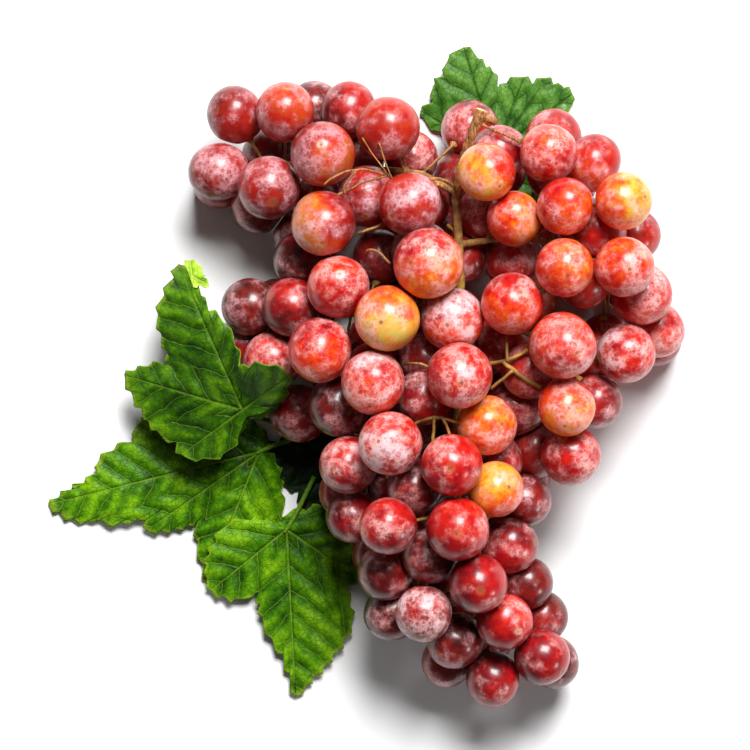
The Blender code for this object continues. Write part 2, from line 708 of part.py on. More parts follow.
def sphere_mesh(name, centre, radius):
    """A berry as a sphere of 80 faces."""
    work = bmesh.new()
    bmesh.ops.create_icosphere(work, subdivisions=2, radius=radius)
    bmesh.ops.translate(work, verts=work.verts, vec=Vector(centre))
    mesh = bpy.data.meshes.new(name)
    work.to_mesh(mesh)
    work.free()
    mesh.shade_smooth()
    return mesh


def main():
    """Build the bunch."""
    for obj in list(bpy.data.objects):
        bpy.data.objects.remove(obj)
    parts = bpy.data.collections.new("bunch_of_grapes")
    guides = bpy.data.collections.new("guides")
    bpy.context.scene.collection.children.link(parts)
    bpy.context.scene.collection.children.link(guides)

    front = [(spray, number, berry) for spray, row in FRONT.items() for number, berry in enumerate(row, 1)]
    given = np.array([berry for _, _, berry in front] + DEEP, float)
    added = np.array(fill_berries(given[:, :3]))
    rng = np.random.default_rng(SEED)
    added_sizes = rng.uniform(*FILL_SIZES, len(added))
    places = np.vstack([given[:, :3], added])
    sizes = np.concatenate([given[:, 3], added_sizes])
    single_count = len(front)
    groups, kept = split_into_groups(places[single_count:], BERRY_GROUPS)
    links = [(a + single_count, b + single_count) for a, b in kept]

    width = given[:, 0].max() - given[:, 0].min()
    length = given[:, 1].max() - given[:, 1].min()
    height = (given[:, 2] + given[:, 3] * LAYOUT_DIAMETER / 2.0).max()
    stretch = np.array([BUNCH_WIDTH / width, BUNCH_LENGTH / length, BUNCH_HEIGHT / height])
    radii = sizes * BERRY_DIAMETER / 2.0
    anchors = places * stretch
    lines = [line * stretch for line in layout_lines()]
    line_radii = [STEM_DIAMETER / 2.0] + [ARM_DIAMETER * 0.6] * (len(lines) - 1)
    leaves = {name: placed_leaf(spec, stretch) for name, spec in LEAVES.items()}
    beds = [((*spec["middle"], BED_REACH * max(reach for _, reach in spec["outline"])), LEAF_BED)
            for spec in leaves.values() if not spec["over_bunch"]]
    beds += [((x, y, 0.0), z + PETIOLE_DIAMETER / 2.0 + GAP)
             for spec in leaves.values() for x, y, z in spec["petiole"][1:]]
    drops = [np.array([(*spec["middle"], spec["rise"] * 2.0), (*spec["middle"], spec["rise"]), spec["petiole"][0]])
             for spec in leaves.values() if spec["over_bunch"]]
    centres = relax(anchors.copy(), radii, anchors, links, lines + drops,
                    line_radii + [PETIOLE_DIAMETER / 2.0] * len(drops), beds)

    for (spray, number, _), centre, radius in zip(front, centres, radii):
        name = "berry_%s_%02d" % (spray, number)
        add_object(name, sphere_mesh(name, centre, radius), parts, COLOURS[spray], 0.35)
    for number, group in enumerate(sorted(groups, key=min), 1):
        name = "berries_inner_%02d" % number
        balls = []
        for member in group:
            index = member + single_count
            ball = bpy.data.objects.new("ball", sphere_mesh("ball", centres[index], radii[index]))
            guides.objects.link(ball)
            balls.append(ball)
        add_object(name, unite(name, balls, guides), parts, COLOURS["deep"], 0.4)

    pieces, held = stem_pieces(centres, radii, lines, np.array(STUB) * stretch, guides)
    add_object("stem", unite("stem", pieces, guides), parts, COLOURS["stem"], 0.7)
    print("berries", len(centres), "held by a stalk", held)

    below = []
    for name, spec in leaves.items():
        below.append(build_leaf(name, spec, centres, radii, below, parts, guides))

    corners = np.array([obj.matrix_world @ vertex.co for obj in parts.objects for vertex in obj.data.vertices])
    low, high = corners.min(axis=0), corners.max(axis=0)
    shift = Vector((-(low[0] + high[0]) / 2.0, -(low[1] + high[1]) / 2.0, -low[2]))
    for obj in parts.objects:
        work = bmesh.new()
        work.from_mesh(obj.data)
        bmesh.ops.translate(work, verts=work.verts, vec=shift)
        work.to_mesh(obj.data)
        work.free()


main()
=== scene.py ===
"""The looks of a bunch of red table grapes with five vine leaves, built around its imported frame.

Every berry, the stem and every leaf of the frame is replaced by a finely shaped piece in the same place.
"""
import logging
import math
from dataclasses import dataclass, field
from enum import Enum
from typing import Iterable, Sequence

import bmesh
import bpy
import numpy as np
from mathutils import Matrix, Vector, noise
from mathutils.bvhtree import BVHTree


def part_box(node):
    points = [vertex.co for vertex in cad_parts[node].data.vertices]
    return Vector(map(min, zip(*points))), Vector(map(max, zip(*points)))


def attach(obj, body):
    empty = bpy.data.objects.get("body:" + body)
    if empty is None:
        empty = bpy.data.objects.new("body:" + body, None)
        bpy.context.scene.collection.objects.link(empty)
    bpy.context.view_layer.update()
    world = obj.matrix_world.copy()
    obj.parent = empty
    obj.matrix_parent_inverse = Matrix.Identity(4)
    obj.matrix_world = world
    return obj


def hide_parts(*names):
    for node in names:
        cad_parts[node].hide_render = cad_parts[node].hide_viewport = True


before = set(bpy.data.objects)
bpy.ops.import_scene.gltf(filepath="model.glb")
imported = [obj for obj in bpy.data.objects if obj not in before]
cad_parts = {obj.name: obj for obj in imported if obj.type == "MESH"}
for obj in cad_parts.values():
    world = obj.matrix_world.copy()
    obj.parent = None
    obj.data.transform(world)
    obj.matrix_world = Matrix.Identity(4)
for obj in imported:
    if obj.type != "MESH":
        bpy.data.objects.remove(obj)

LOG = logging.getLogger("bunch_of_grapes")
MM = 0.001
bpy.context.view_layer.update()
SQUEEZE = 0.966   # the lying bunch's height against its layout's
Colour = tuple[float, float, float, float]


def srgb(red: int, green: int, blue: int) -> Colour:
    """Turn an 8-bit screen colour into the linear colour that shaders take.

    Args:
        red: Red, 0 to 255.
        green: Green, 0 to 255.
        blue: Blue, 0 to 255.

    Returns:
        The linear colour with an alpha of one.
    """
    def linear(level: int) -> float:
        """Undo the screen's curve for one level."""
        share = level / 255.0
        return share / 12.92 if share <= 0.04045 else ((share + 0.055) / 1.055) ** 2.4
    return (linear(red), linear(green), linear(blue), 1.0)


# ---- shader expressions ----

class Value:
    """A number that varies over a surface, as an output socket that takes part in Python expressions."""

    def __init__(self, sheet: "NodeSheet", socket: bpy.types.NodeSocket) -> None:
        """Wrap an output socket of a sheet."""
        self.sheet = sheet
        self.socket = socket

    def _math(self, operation: str, *others: "Value | float", first: "Value | float | None" = None) -> "Value":
        """Add a Math node on this value.

        Args:
            operation: The Math node's operation.
            others: The further inputs.
            first: What stands in the first input, where that isn't this value.

        Returns:
            The node's output.
        """
        sockets = {0: self if first is None else first, **dict(enumerate(others, 1))}
        return self.sheet.node("ShaderNodeMath", {"operation": operation}, sockets)

    def __add__(self, other: "Value | float") -> "Value":
        """Add."""
        return self._math("ADD", other)

    __radd__ = __add__

    def __sub__(self, other: "Value | float") -> "Value":
        """Take away."""
        return self._math("SUBTRACT", other)

    def __rsub__(self, other: float) -> "Value":
        """Take this value away from a number."""
        return self._math("SUBTRACT", self, first=other)

    def __mul__(self, other: "Value | float") -> "Value":
        """Multiply."""
        return self._math("MULTIPLY", other)

    __rmul__ = __mul__

    def __truediv__(self, other: "Value | float") -> "Value":
        """Divide."""
        return self._math("DIVIDE", other)

    def absolute(self) -> "Value":
        """The value without its sign."""
        return self._math("ABSOLUTE")

    def fraction(self) -> "Value":
        """What is left above the whole number."""
        return self._math("FRACT")

    def at_least(self, other: "Value | float") -> "Value":
        """The larger of two."""
        return self._math("MAXIMUM", other)

    def at_most(self, other: "Value | float") -> "Value":
        """The smaller of two."""
        return self._math("MINIMUM", other)

    def step(self, low: float, high: float) -> "Value":
        """Rise smoothly from 0 at low to 1 at high.

        Args:
            low: Where the rise starts.
            high: Where it ends. With high below low, the step falls.

        Returns:
            The smooth step.
        """
        falls = high < low
        sockets = {"Value": self, "From Min": min(low, high), "From Max": max(low, high)}
        rise = self.sheet.node("ShaderNodeMapRange", {"interpolation_type": "SMOOTHSTEP"}, sockets)
        return 1.0 - rise if falls else rise


class NodeSheet:
    """One material's nodes."""

    def __init__(self, name: str) -> None:
        """Start a material with a Principled shader."""
        self.material = bpy.data.materials.new(name)
        self.material.use_nodes = True
        self.nodes = self.material.node_tree.nodes
        self.links = self.material.node_tree.links
        self.shader = self.nodes["Principled BSDF"]

    def node(self, kind: str, settings: dict | None = None, sockets: dict | None = None,
             output: int | str = 0) -> Value:
        """Add a node.

        Args:
            kind: The node's type.
            settings: Its properties, and a ramp's stops under "stops".
            sockets: A number, a tuple or a Value for each input, by name or place.
            output: Which output to return.

        Returns:
            The output, as a Value.
        """
        made = self.nodes.new(kind)
        for key, value in (settings or {}).items():
            if key == "stops":
                self._set_stops(made.color_ramp, value)
            else:
                setattr(made, key, value)
        for key, value in (sockets or {}).items():
            self._feed(made.inputs[key], value)
        return Value(self, made.outputs[output])

    @staticmethod
    def _set_stops(ramp: bpy.types.ColorRamp, stops: Sequence[tuple[float, Colour]]) -> None:
        """Give a ramp its stops of (place, colour).

        Args:
            ramp: The ramp, with its two first stops.
            stops: Each stop's place and colour, in rising order.
        """
        while len(ramp.elements) < len(stops):
            ramp.elements.new(1.0)
        for element, (place, colour) in zip(ramp.elements, stops):
            element.position = place
            element.color = colour

    def _feed(self, socket: bpy.types.NodeSocket, value: object) -> None:
        """Link a Value to an input, or set the input."""
        if isinstance(value, Value):
            self.links.new(value.socket, socket)
        else:
            socket.default_value = value

    def random(self, place: Value, scale: float) -> Value:
        """One even random number for each cell."""
        colours = self.cells(place, scale, output="Color")
        return self.node("ShaderNodeSeparateColor", None, {0: colours})

    def colours(self, place: Value, scale: float, detail: float = 2.0) -> Value:
        """Noise in three channels, to tear straight edges with."""
        sockets = {"Vector": place, "Scale": scale, "Detail": detail}
        return self.node("ShaderNodeTexNoise", None, sockets, "Color")

    def attribute(self, name: str, output: str = "Fac") -> Value:
        """Read a piece's own attribute."""
        return self.node("ShaderNodeAttribute", {"attribute_name": name}, output=output)

    def place(self) -> Value:
        """The surface's place, in metres."""
        return self.node("ShaderNodeTexCoord", output="Object")

    def noise(self, place: Value, scale: float, detail: float = 3.0, rough: float = 0.55,
              distortion: float = 0.0) -> Value:
        """Soft noise of about 0.25 to 0.75."""
        return self.node("ShaderNodeTexNoise", None, {"Vector": place, "Scale": scale, "Detail": detail,
                                                      "Roughness": rough, "Distortion": distortion})

    def cells(self, place: Value, scale: float, feature: str = "F1", output: str = "Distance") -> Value:
        """Distance to the nearest cell centre, or to the nearest cell edge."""
        return self.node("ShaderNodeTexVoronoi", {"feature": feature}, {"Vector": place, "Scale": scale},
                         output=output)

    def mix(self, share: Value | float, first: object, second: object) -> Value:
        """Mix two colours."""
        return self.node("ShaderNodeMix", {"data_type": "RGBA"}, {0: share, 6: first, 7: second}, 2)

    def multiply(self, first: object, second: object) -> Value:
        """Multiply two colours."""
        settings = {"data_type": "RGBA", "blend_type": "MULTIPLY"}
        return self.node("ShaderNodeMix", settings, {0: 1.0, 6: first, 7: second}, 2)

    def offset(self, place: Value, shift: Value, amount: float) -> Value:
        """Shift a place by a colour, to tear straight edges."""
        scaled = self.node("ShaderNodeVectorMath", {"operation": "SCALE"}, {0: shift, "Scale": amount})
        return self.node("ShaderNodeVectorMath", {"operation": "ADD"}, {0: place, 1: scaled})

    def ramp(self, value: Value, stops: Sequence[tuple]) -> Value:
        """Turn a number into a colour."""
        return self.node("ShaderNodeValToRGB", {"stops": stops}, {0: value})

    def bump(self, height: Value, strength: float, depth: float) -> None:
        """Raise the surface by a height, in the Normal input."""
        sockets = {"Height": height, "Strength": strength, "Distance": depth}
        self._feed(self.shader.inputs["Normal"], self.node("ShaderNodeBump", None, sockets))

    def finish(self, colour: Value, roughness: Value, **constants: object) -> bpy.types.Material:
        """Wire the shader.

        Args:
            colour: The base colour.
            roughness: The roughness.
            constants: The shader's other inputs, with _ for the spaces of their names.

        Returns:
            The finished material.
        """
        self._feed(self.shader.inputs["Base Color"], colour)
        self._feed(self.shader.inputs["Roughness"], roughness)
        for key, value in constants.items():
            self.shader.inputs[key.replace("_", " ")].default_value = value
        return self.material


# ---- finishes ----

@dataclass(frozen=True)
class GrapeSkin:
    """Thin translucent skin from burgundy to gold, under a dusty wax bloom that is rubbed into lace."""

    wax_pink: Colour = srgb(254, 186, 178)
    wax_mauve: Colour = srgb(214, 156, 164)
    dull_flesh: Colour = srgb(118, 44, 24)
    wax_grey: Colour = srgb(214, 204, 212)
    scar: Colour = srgb(120, 74, 44)
    speck: Colour = srgb(74, 14, 22)

    def material(self) -> bpy.types.Material:
        """Build the material. It reads each berry's own attributes."""
        s = NodeSheet("grape_skin")
        place = s.attribute("skin_place", "Vector")
        low, high = s.attribute("tone_low"), s.attribute("tone_high")
        wax, blush_and_glow = s.attribute("wax"), s.attribute("blush_and_glow")
        end, wax_and_lit_side = s.attribute("stem_side"), s.attribute("wax_and_lit_side")
        dull = s.attribute("dull")

        broad = s.noise(place, 1.15, 3.0)
        mottle = s.noise(place, 3.4, 5.0, 0.62)
        fine = s.noise(place, 14.0, 4.0, 0.6)
        torn = s.offset(place, s.colours(place, 5.0, 4.0), 0.14)
        spots = s.cells(torn, 5.6)
        small = s.cells(torn, 10.5)
        # painted light in part: the high tone's side is partly real blush, partly painted glow of light through
        # the skin
        turn = (blush_and_glow + (broad - 0.5) * 2.6).step(-0.65, 0.65)
        tone = low + (high - low) * turn + (mottle - 0.5) * 0.62 + (fine - 0.5) * 0.12
        flesh = s.ramp(tone, [
            (0.0, srgb(26, 2, 9)), (0.14, srgb(66, 4, 14)), (0.28, srgb(116, 5, 20)),
            (0.42, srgb(166, 8, 18)), (0.55, srgb(200, 24, 16)), (0.68, srgb(220, 72, 18)),
            (0.80, srgb(230, 120, 24)), (0.91, srgb(234, 164, 52)), (1.0, srgb(212, 184, 84))])

        flesh = s.mix(dull * (0.45 + (mottle - 0.5) * 1.2), flesh, self.dull_flesh)
        wax_colour = s.mix(dull, self.wax_pink, self.wax_mauve)

        cloud = s.noise(place, 1.5, 6.0, 0.62)
        # the side facing up gets more pale bloom here and in heavy and haze below: partly real wax, partly
        # painted light on the lit top of each berry
        patch = ((cloud - 0.5) * 3.0 + wax_and_lit_side * 0.22 + (wax - 0.5) * 1.1).step(-0.15, 0.45)
        sizes = s.random(torn, 5.6)
        grit = s.noise(place, 30.0, 3.0, 0.6)
        holes = (spots + (sizes - 0.5) * 0.50 + (fine - 0.5) * 0.60 + (grit - 0.5) * 0.30).step(0.36, 0.50)
        pores = (small + (fine - 0.5) * 0.50 + (grit - 0.5) * 0.30).step(0.32, 0.46)
        net = s.cells(torn, 7.4, "DISTANCE_TO_EDGE").step(0.12, 0.03) * cloud.step(0.40, 0.56)
        lace = patch * (holes * (pores * 0.6 + 0.4) * 0.75 + net * 0.5).at_most(1.0)
        heavy = (cloud * 1.2 + wax * 0.9 + wax_and_lit_side * 0.12 - 1.24).step(0.0, 0.22) * (holes * 0.5 + 0.5)
        pits = s.mix(patch * (1.0 - holes) * 0.5, (1.0, 1.0, 1.0, 1.0), srgb(214, 160, 170))
        pitted = s.multiply(flesh, pits)
        haze = (cloud + (wax - 0.5) * 0.24 + wax_and_lit_side * 0.05).step(0.42, 0.66)
        dusted = s.mix(lace * 0.50 + haze * 0.20, pitted, wax_colour)
        dusted = s.mix(heavy * 0.62, dusted, self.wax_grey)

        tiny = s.cells(place, 8.5)
        chosen = s.random(place, 8.5).step(0.42, 0.47)
        specks = (tiny + (sizes - 0.5) * 0.10).step(0.17, 0.09) * chosen
        marked = s.mix(specks * 0.50, dusted, self.speck)
        scar = (end + (fine - 0.5) * 0.004).step(-0.9962, -0.9988)
        ring = (end + (fine - 0.5) * 0.03).step(-0.975, -0.992) * 0.22
        marked = s.mix(ring, marked, srgb(204, 130, 80))
        marked = s.mix(scar * 0.8, marked, self.scar)

        roughness = 0.30 + lace * 0.16 + heavy * 0.16 + (fine - 0.5) * 0.16 + scar * 0.2
        s.bump(fine * 0.22 + lace * 0.35 + mottle * 0.4, 0.22, 0.00025)
        return s.finish(marked, roughness, Subsurface_Weight=0.14, Subsurface_Radius=(1.0, 0.28, 0.14),
                        Subsurface_Scale=0.004, IOR=1.42, Coat_Weight=0.22, Coat_Roughness=0.12)


@dataclass(frozen=True)
class StemBark:
    """Woody at the cut end, tan on the arms, and olive to orange on the stalks."""

    def material(self) -> bpy.types.Material:
        """Build the material. It reads the stem's own attributes."""
        s = NodeSheet("stem_bark")
        place = s.place()
        wood, cut = s.attribute("woody"), s.attribute("cut")
        stretched = s.node("ShaderNodeMapping", None, {"Vector": place, "Scale": (1.0, 0.28, 1.0)})
        grain = s.noise(stretched, 1500.0, 5.0, 0.62)
        patches = s.noise(place, 160.0, 3.0)
        pits = s.cells(place, 900.0).step(0.26, 0.12) * patches.step(0.45, 0.6)
        green = s.ramp(patches + (grain - 0.5) * 0.35, [
            (0.30, srgb(92, 64, 24)), (0.46, srgb(132, 98, 36)), (0.58, srgb(170, 126, 50)),
            (0.72, srgb(198, 120, 46))])
        brown = s.ramp(grain + (patches - 0.5) * 0.5, [
            (0.28, srgb(66, 38, 18)), (0.44, srgb(128, 82, 42)), (0.58, srgb(178, 122, 68)),
            (0.74, srgb(214, 166, 108))])
        bark = s.mix(wood, green, brown)
        bark = s.mix(pits * 0.7, bark, srgb(70, 40, 20))
        face = s.ramp(s.cells(place, 700.0) + grain * 0.3, [
            (0.2, srgb(120, 74, 34)), (0.5, srgb(206, 160, 98)), (0.8, srgb(236, 204, 146))])
        colour = s.mix(cut, bark, face)
        s.bump(grain + pits * -0.6, 0.6, 0.0004)
        return s.finish(colour, 0.5 + grain * 0.3, Subsurface_Weight=0.04, Subsurface_Scale=0.001)


@dataclass(frozen=True)
class LeafBlade:
    """A vine leaf: mottled green between pale or dark branching veins."""

    name: str
    deep: Colour
    middle: Colour
    bright: Colour
    vein: Colour
    margin: Colour
    vein_strength: float = 0.7
    damage: float = 0.0

    def material(self) -> bpy.types.Material:
        """Build the material. Its UV map holds the place along and across the nearest main vein, in cm."""
        s = NodeSheet(self.name)
        place = s.place()
        plan = s.node("ShaderNodeUVMap", {"uv_map": "veins"})
        split = s.node("ShaderNodeSeparateXYZ", None, {0: plan})
        along, across = split, Value(s, split.socket.node.outputs[1])
        share = s.attribute("edge_share")
        patches = s.noise(place, 55.0, 4.0, 0.6)
        mottle = s.noise(place, 260.0, 4.0, 0.6)
        main = (across - 0.045 + share * 0.03).step(0.03, -0.005)
        wander = (s.noise(place, 120.0, 2.0) - 0.5) * 0.55
        branch = ((along - across * 0.9 + wander) / 0.95).fraction()
        near = (branch - 0.5).absolute() * 0.70
        second = near.step(0.034, 0.010) * across.step(0.0, 0.06)
        third_place = s.offset(place, s.colours(place, 500.0), 0.0008)
        third = s.cells(third_place, 430.0, "DISTANCE_TO_EDGE").step(0.075, 0.02)
        fourth = s.cells(place, 1300.0, "DISTANCE_TO_EDGE").step(0.09, 0.02)
        pillow = near.step(0.02, 0.34)

        # painted light and shade: the pillow term lightens the raised middles between the veins and darkens the
        # sunken ground beside them
        shade = patches * 0.95 + mottle * 0.50 + (pillow - 0.5) * 0.16 + (share - 0.5) * 0.12 - 0.16
        blade = s.ramp(shade, [(0.34, self.deep), (0.54, self.middle), (0.76, self.bright)])
        blade = s.mix(third * 0.30, blade, self.deep)
        blade = s.mix(fourth * 0.12, blade, self.deep)
        veins = main.at_least(second * 0.8)
        # painted shade: a darker band along the sunken veins
        vein_groove_shade = main.at_least(near.step(0.09, 0.03) * across.step(0.0, 0.06) * 0.6)
        blade = s.mix(vein_groove_shade * 0.35, blade, self.deep)
        blade = s.mix(veins * self.vein_strength, blade, self.vein)
        blade = s.mix(share.step(0.955, 1.0) * 0.6, blade, self.margin)
        if self.damage:
            hurt = s.noise(place, 42.0, 5.0, 0.65).step(0.66, 0.72) * self.damage
            blade = s.mix(hurt, blade, srgb(196, 206, 150))
        s.bump(veins * -0.8 + third * -0.35 + mottle * 0.35 + pillow * 0.9, 0.75, 0.0006)
        return s.finish(blade, 0.34 + mottle * 0.22 - veins * 0.05, Subsurface_Weight=0.06,
                        Subsurface_Radius=(0.4, 1.0, 0.1), Subsurface_Scale=0.0008, IOR=1.4,
                        Specular_IOR_Level=0.2)


@dataclass(frozen=True)
class TableTop:
    """A plain pale surface."""

    def material(self) -> bpy.types.Material:
        """Build the material."""
        s = NodeSheet("pale_table")
        cloud = s.noise(s.place(), 3.0, 3.0)
        colour = s.ramp(cloud, [(0.3, srgb(244, 244, 244)), (0.7, srgb(249, 249, 249))])
        return s.finish(colour, 0.55 + cloud * 0.2)


# ---- mesh help ----

def to_object(name: str, mesh: bpy.types.Mesh, material: bpy.types.Material) -> bpy.types.Object:
    """Make a smooth object of a mesh, at the origin.

    Args:
        name: The piece's name.
        mesh: Its mesh, in place.
        material: Its finish.

    Returns:
        The object, linked to the scene.
    """
    mesh.name = name
    mesh.materials.clear()
    mesh.materials.append(material)
    mesh.shade_smooth()
    return linked(name, mesh)


def linked(name: str, data: bpy.types.ID) -> bpy.types.Object:
    """A new object in the scene."""
    piece = bpy.data.objects.new(name, data)
    bpy.context.scene.collection.objects.link(piece)
    return piece


def as_mesh(name: str, work: bmesh.types.BMesh) -> bpy.types.Mesh:
    """Turn a bmesh into a new mesh. The bmesh is freed."""
    mesh = bpy.data.meshes.new(name)
    work.to_mesh(mesh)
    work.free()
    return mesh


def mesh_points(mesh: bpy.types.Mesh) -> np.ndarray:
    """The mesh's points as rows."""
    points = np.zeros(len(mesh.vertices) * 3)
    mesh.vertices.foreach_get("co", points)
    return points.reshape(-1, 3)


def set_points(mesh: bpy.types.Mesh, points: np.ndarray) -> None:
    """Write the mesh's points back."""
    mesh.vertices.foreach_set("co", points.reshape(-1))
    mesh.update()


def point_numbers(mesh: bpy.types.Mesh, name: str, values: np.ndarray) -> None:
    """Store one number for each point of a mesh."""
    layer = mesh.attributes.new(name, "FLOAT", "POINT")
    layer.data.foreach_set("value", np.asarray(values, np.float32))


def merged_copy(node: str) -> bmesh.types.BMesh:
    """A welded copy of a CAD node's mesh."""
    work = bmesh.new()
    work.from_mesh(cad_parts[node].data)
    bmesh.ops.remove_doubles(work, verts=work.verts, dist=0.000005)
    return work


def evaluated(piece: bpy.types.Object) -> bpy.types.Mesh:
    """A piece's mesh with its modifiers applied. The piece is removed."""
    graph = bpy.context.evaluated_depsgraph_get()
    mesh = bpy.data.meshes.new_from_object(piece.evaluated_get(graph))
    bpy.data.objects.remove(piece)
    return mesh


def tube(points: Sequence[Vector], widths: Sequence[float], sides: int = 4) -> bpy.types.Mesh:
    """A smooth closed tube through points.

    Args:
        points: The line's points.
        widths: The tube's diameter at each.
        sides: The bevel resolution.

    Returns:
        The tube as a mesh.
    """
    curve = bpy.data.curves.new("tube", "CURVE")
    curve.dimensions = "3D"
    curve.bevel_depth = 0.5
    curve.bevel_resolution = sides
    curve.use_fill_caps = True
    curve.resolution_u = 6
    spline = curve.splines.new("NURBS")
    spline.points.add(len(points) - 1)
    for knot, place, width in zip(spline.points, points, widths):
        knot.co = (*place, 1.0)
        knot.radius = width
    spline.use_endpoint_u = True
    spline.order_u = min(4, len(points))
    mesh = evaluated(linked("tube", curve))
    bpy.data.curves.remove(curve)
    work = bmesh.new()
    work.from_mesh(mesh)
    bmesh.ops.remove_doubles(work, verts=work.verts, dist=0.000002)
    bmesh.ops.recalc_face_normals(work, faces=work.faces)
    work.to_mesh(mesh)
    work.free()
    return mesh


# ---- berries ----

class Spray(Enum):
    """The groups that the front berries hang in, as their nodes name them."""

    WING = "wing"
    FRONT = "front"
    SHOULDER = "shoulder"
    TAIL = "tail"


@dataclass(frozen=True)
class BerryLook:
    """How ripe and how dusty one berry is."""

    low: float
    high: float
    wax: float
    turn: float = 120.0
    dull: float = 0.0
    lift: float = 0.3

    def blush_and_glow(self) -> Vector:
        """The side that the high tone lies on, as a direction: partly the berry's own blush, partly painted glow
        of light shining through the skin.
        """
        angle = math.radians(self.turn)
        flat = math.sqrt(1.0 - self.lift ** 2)
        return Vector((flat * math.cos(angle), flat * math.sin(angle), self.lift))


@dataclass(frozen=True)
class SprayLook:
    """The looks of one spray's berries.

    Each row holds a berry's low and high tone, its wax and the side of its high tone, in degrees. That side is
    partly the berry's own blush and partly painted glow of light through the skin.
    """

    dull: float
    rows: tuple[tuple[float, float, float, float], ...]

    def of(self, number: int) -> BerryLook:
        """The look of one numbered berry."""
        return BerryLook(*self.rows[number - 1], self.dull)


SPRAY_LOOKS = {
    Spray.WING: SprayLook(0.85, (
        (.26, .44, .30, -45), (.46, .66, .42, 80), (.42, .56, .34, 60), (.36, .72, .50, -35), (.30, .44, .46, 90),
        (.26, .46, .52, 40), (.36, .50, .56, 60), (.42, .54, .60, 100), (.40, .82, .45, 190))),
    Spray.FRONT: SprayLook(0.08, (
        (.42, .76, .50, -50), (.44, .58, .52, 90), (.70, .95, .40, -90), (.40, .62, .50, -70),
        (.44, .62, .62, -100), (.40, .54, .70, 90), (.32, .46, .66, 60), (.36, .62, .74, -60),
        (.44, .54, .58, 20), (.62, .80, .50, 120), (.43, .50, .34, 70), (.68, .88, .36, 100),
        (.34, .48, .56, 160))),
    Spray.SHOULDER: SprayLook(0.12, (
        (.56, .88, .38, 200), (.44, .62, .45, 70), (.50, .66, .42, -60), (.66, .90, .40, 0), (.58, .78, .48, -30),
        (.54, .72, .42, 40), (.50, .66, .52, 100), (.40, .52, .52, -40), (.48, .64, .42, -100),
        (.46, .60, .54, 80), (.38, .52, .58, -20), (.60, .78, .48, -70), (.34, .46, .38, -40))),
    Spray.TAIL: SprayLook(0.25, (
        (.30, .46, .34, 120), (.36, .52, .26, 60), (.22, .36, .68, 90), (.26, .42, .26, 0), (.34, .52, .32, 30),
        (.22, .38, .14, -60), (.24, .40, .18, 10))),
}


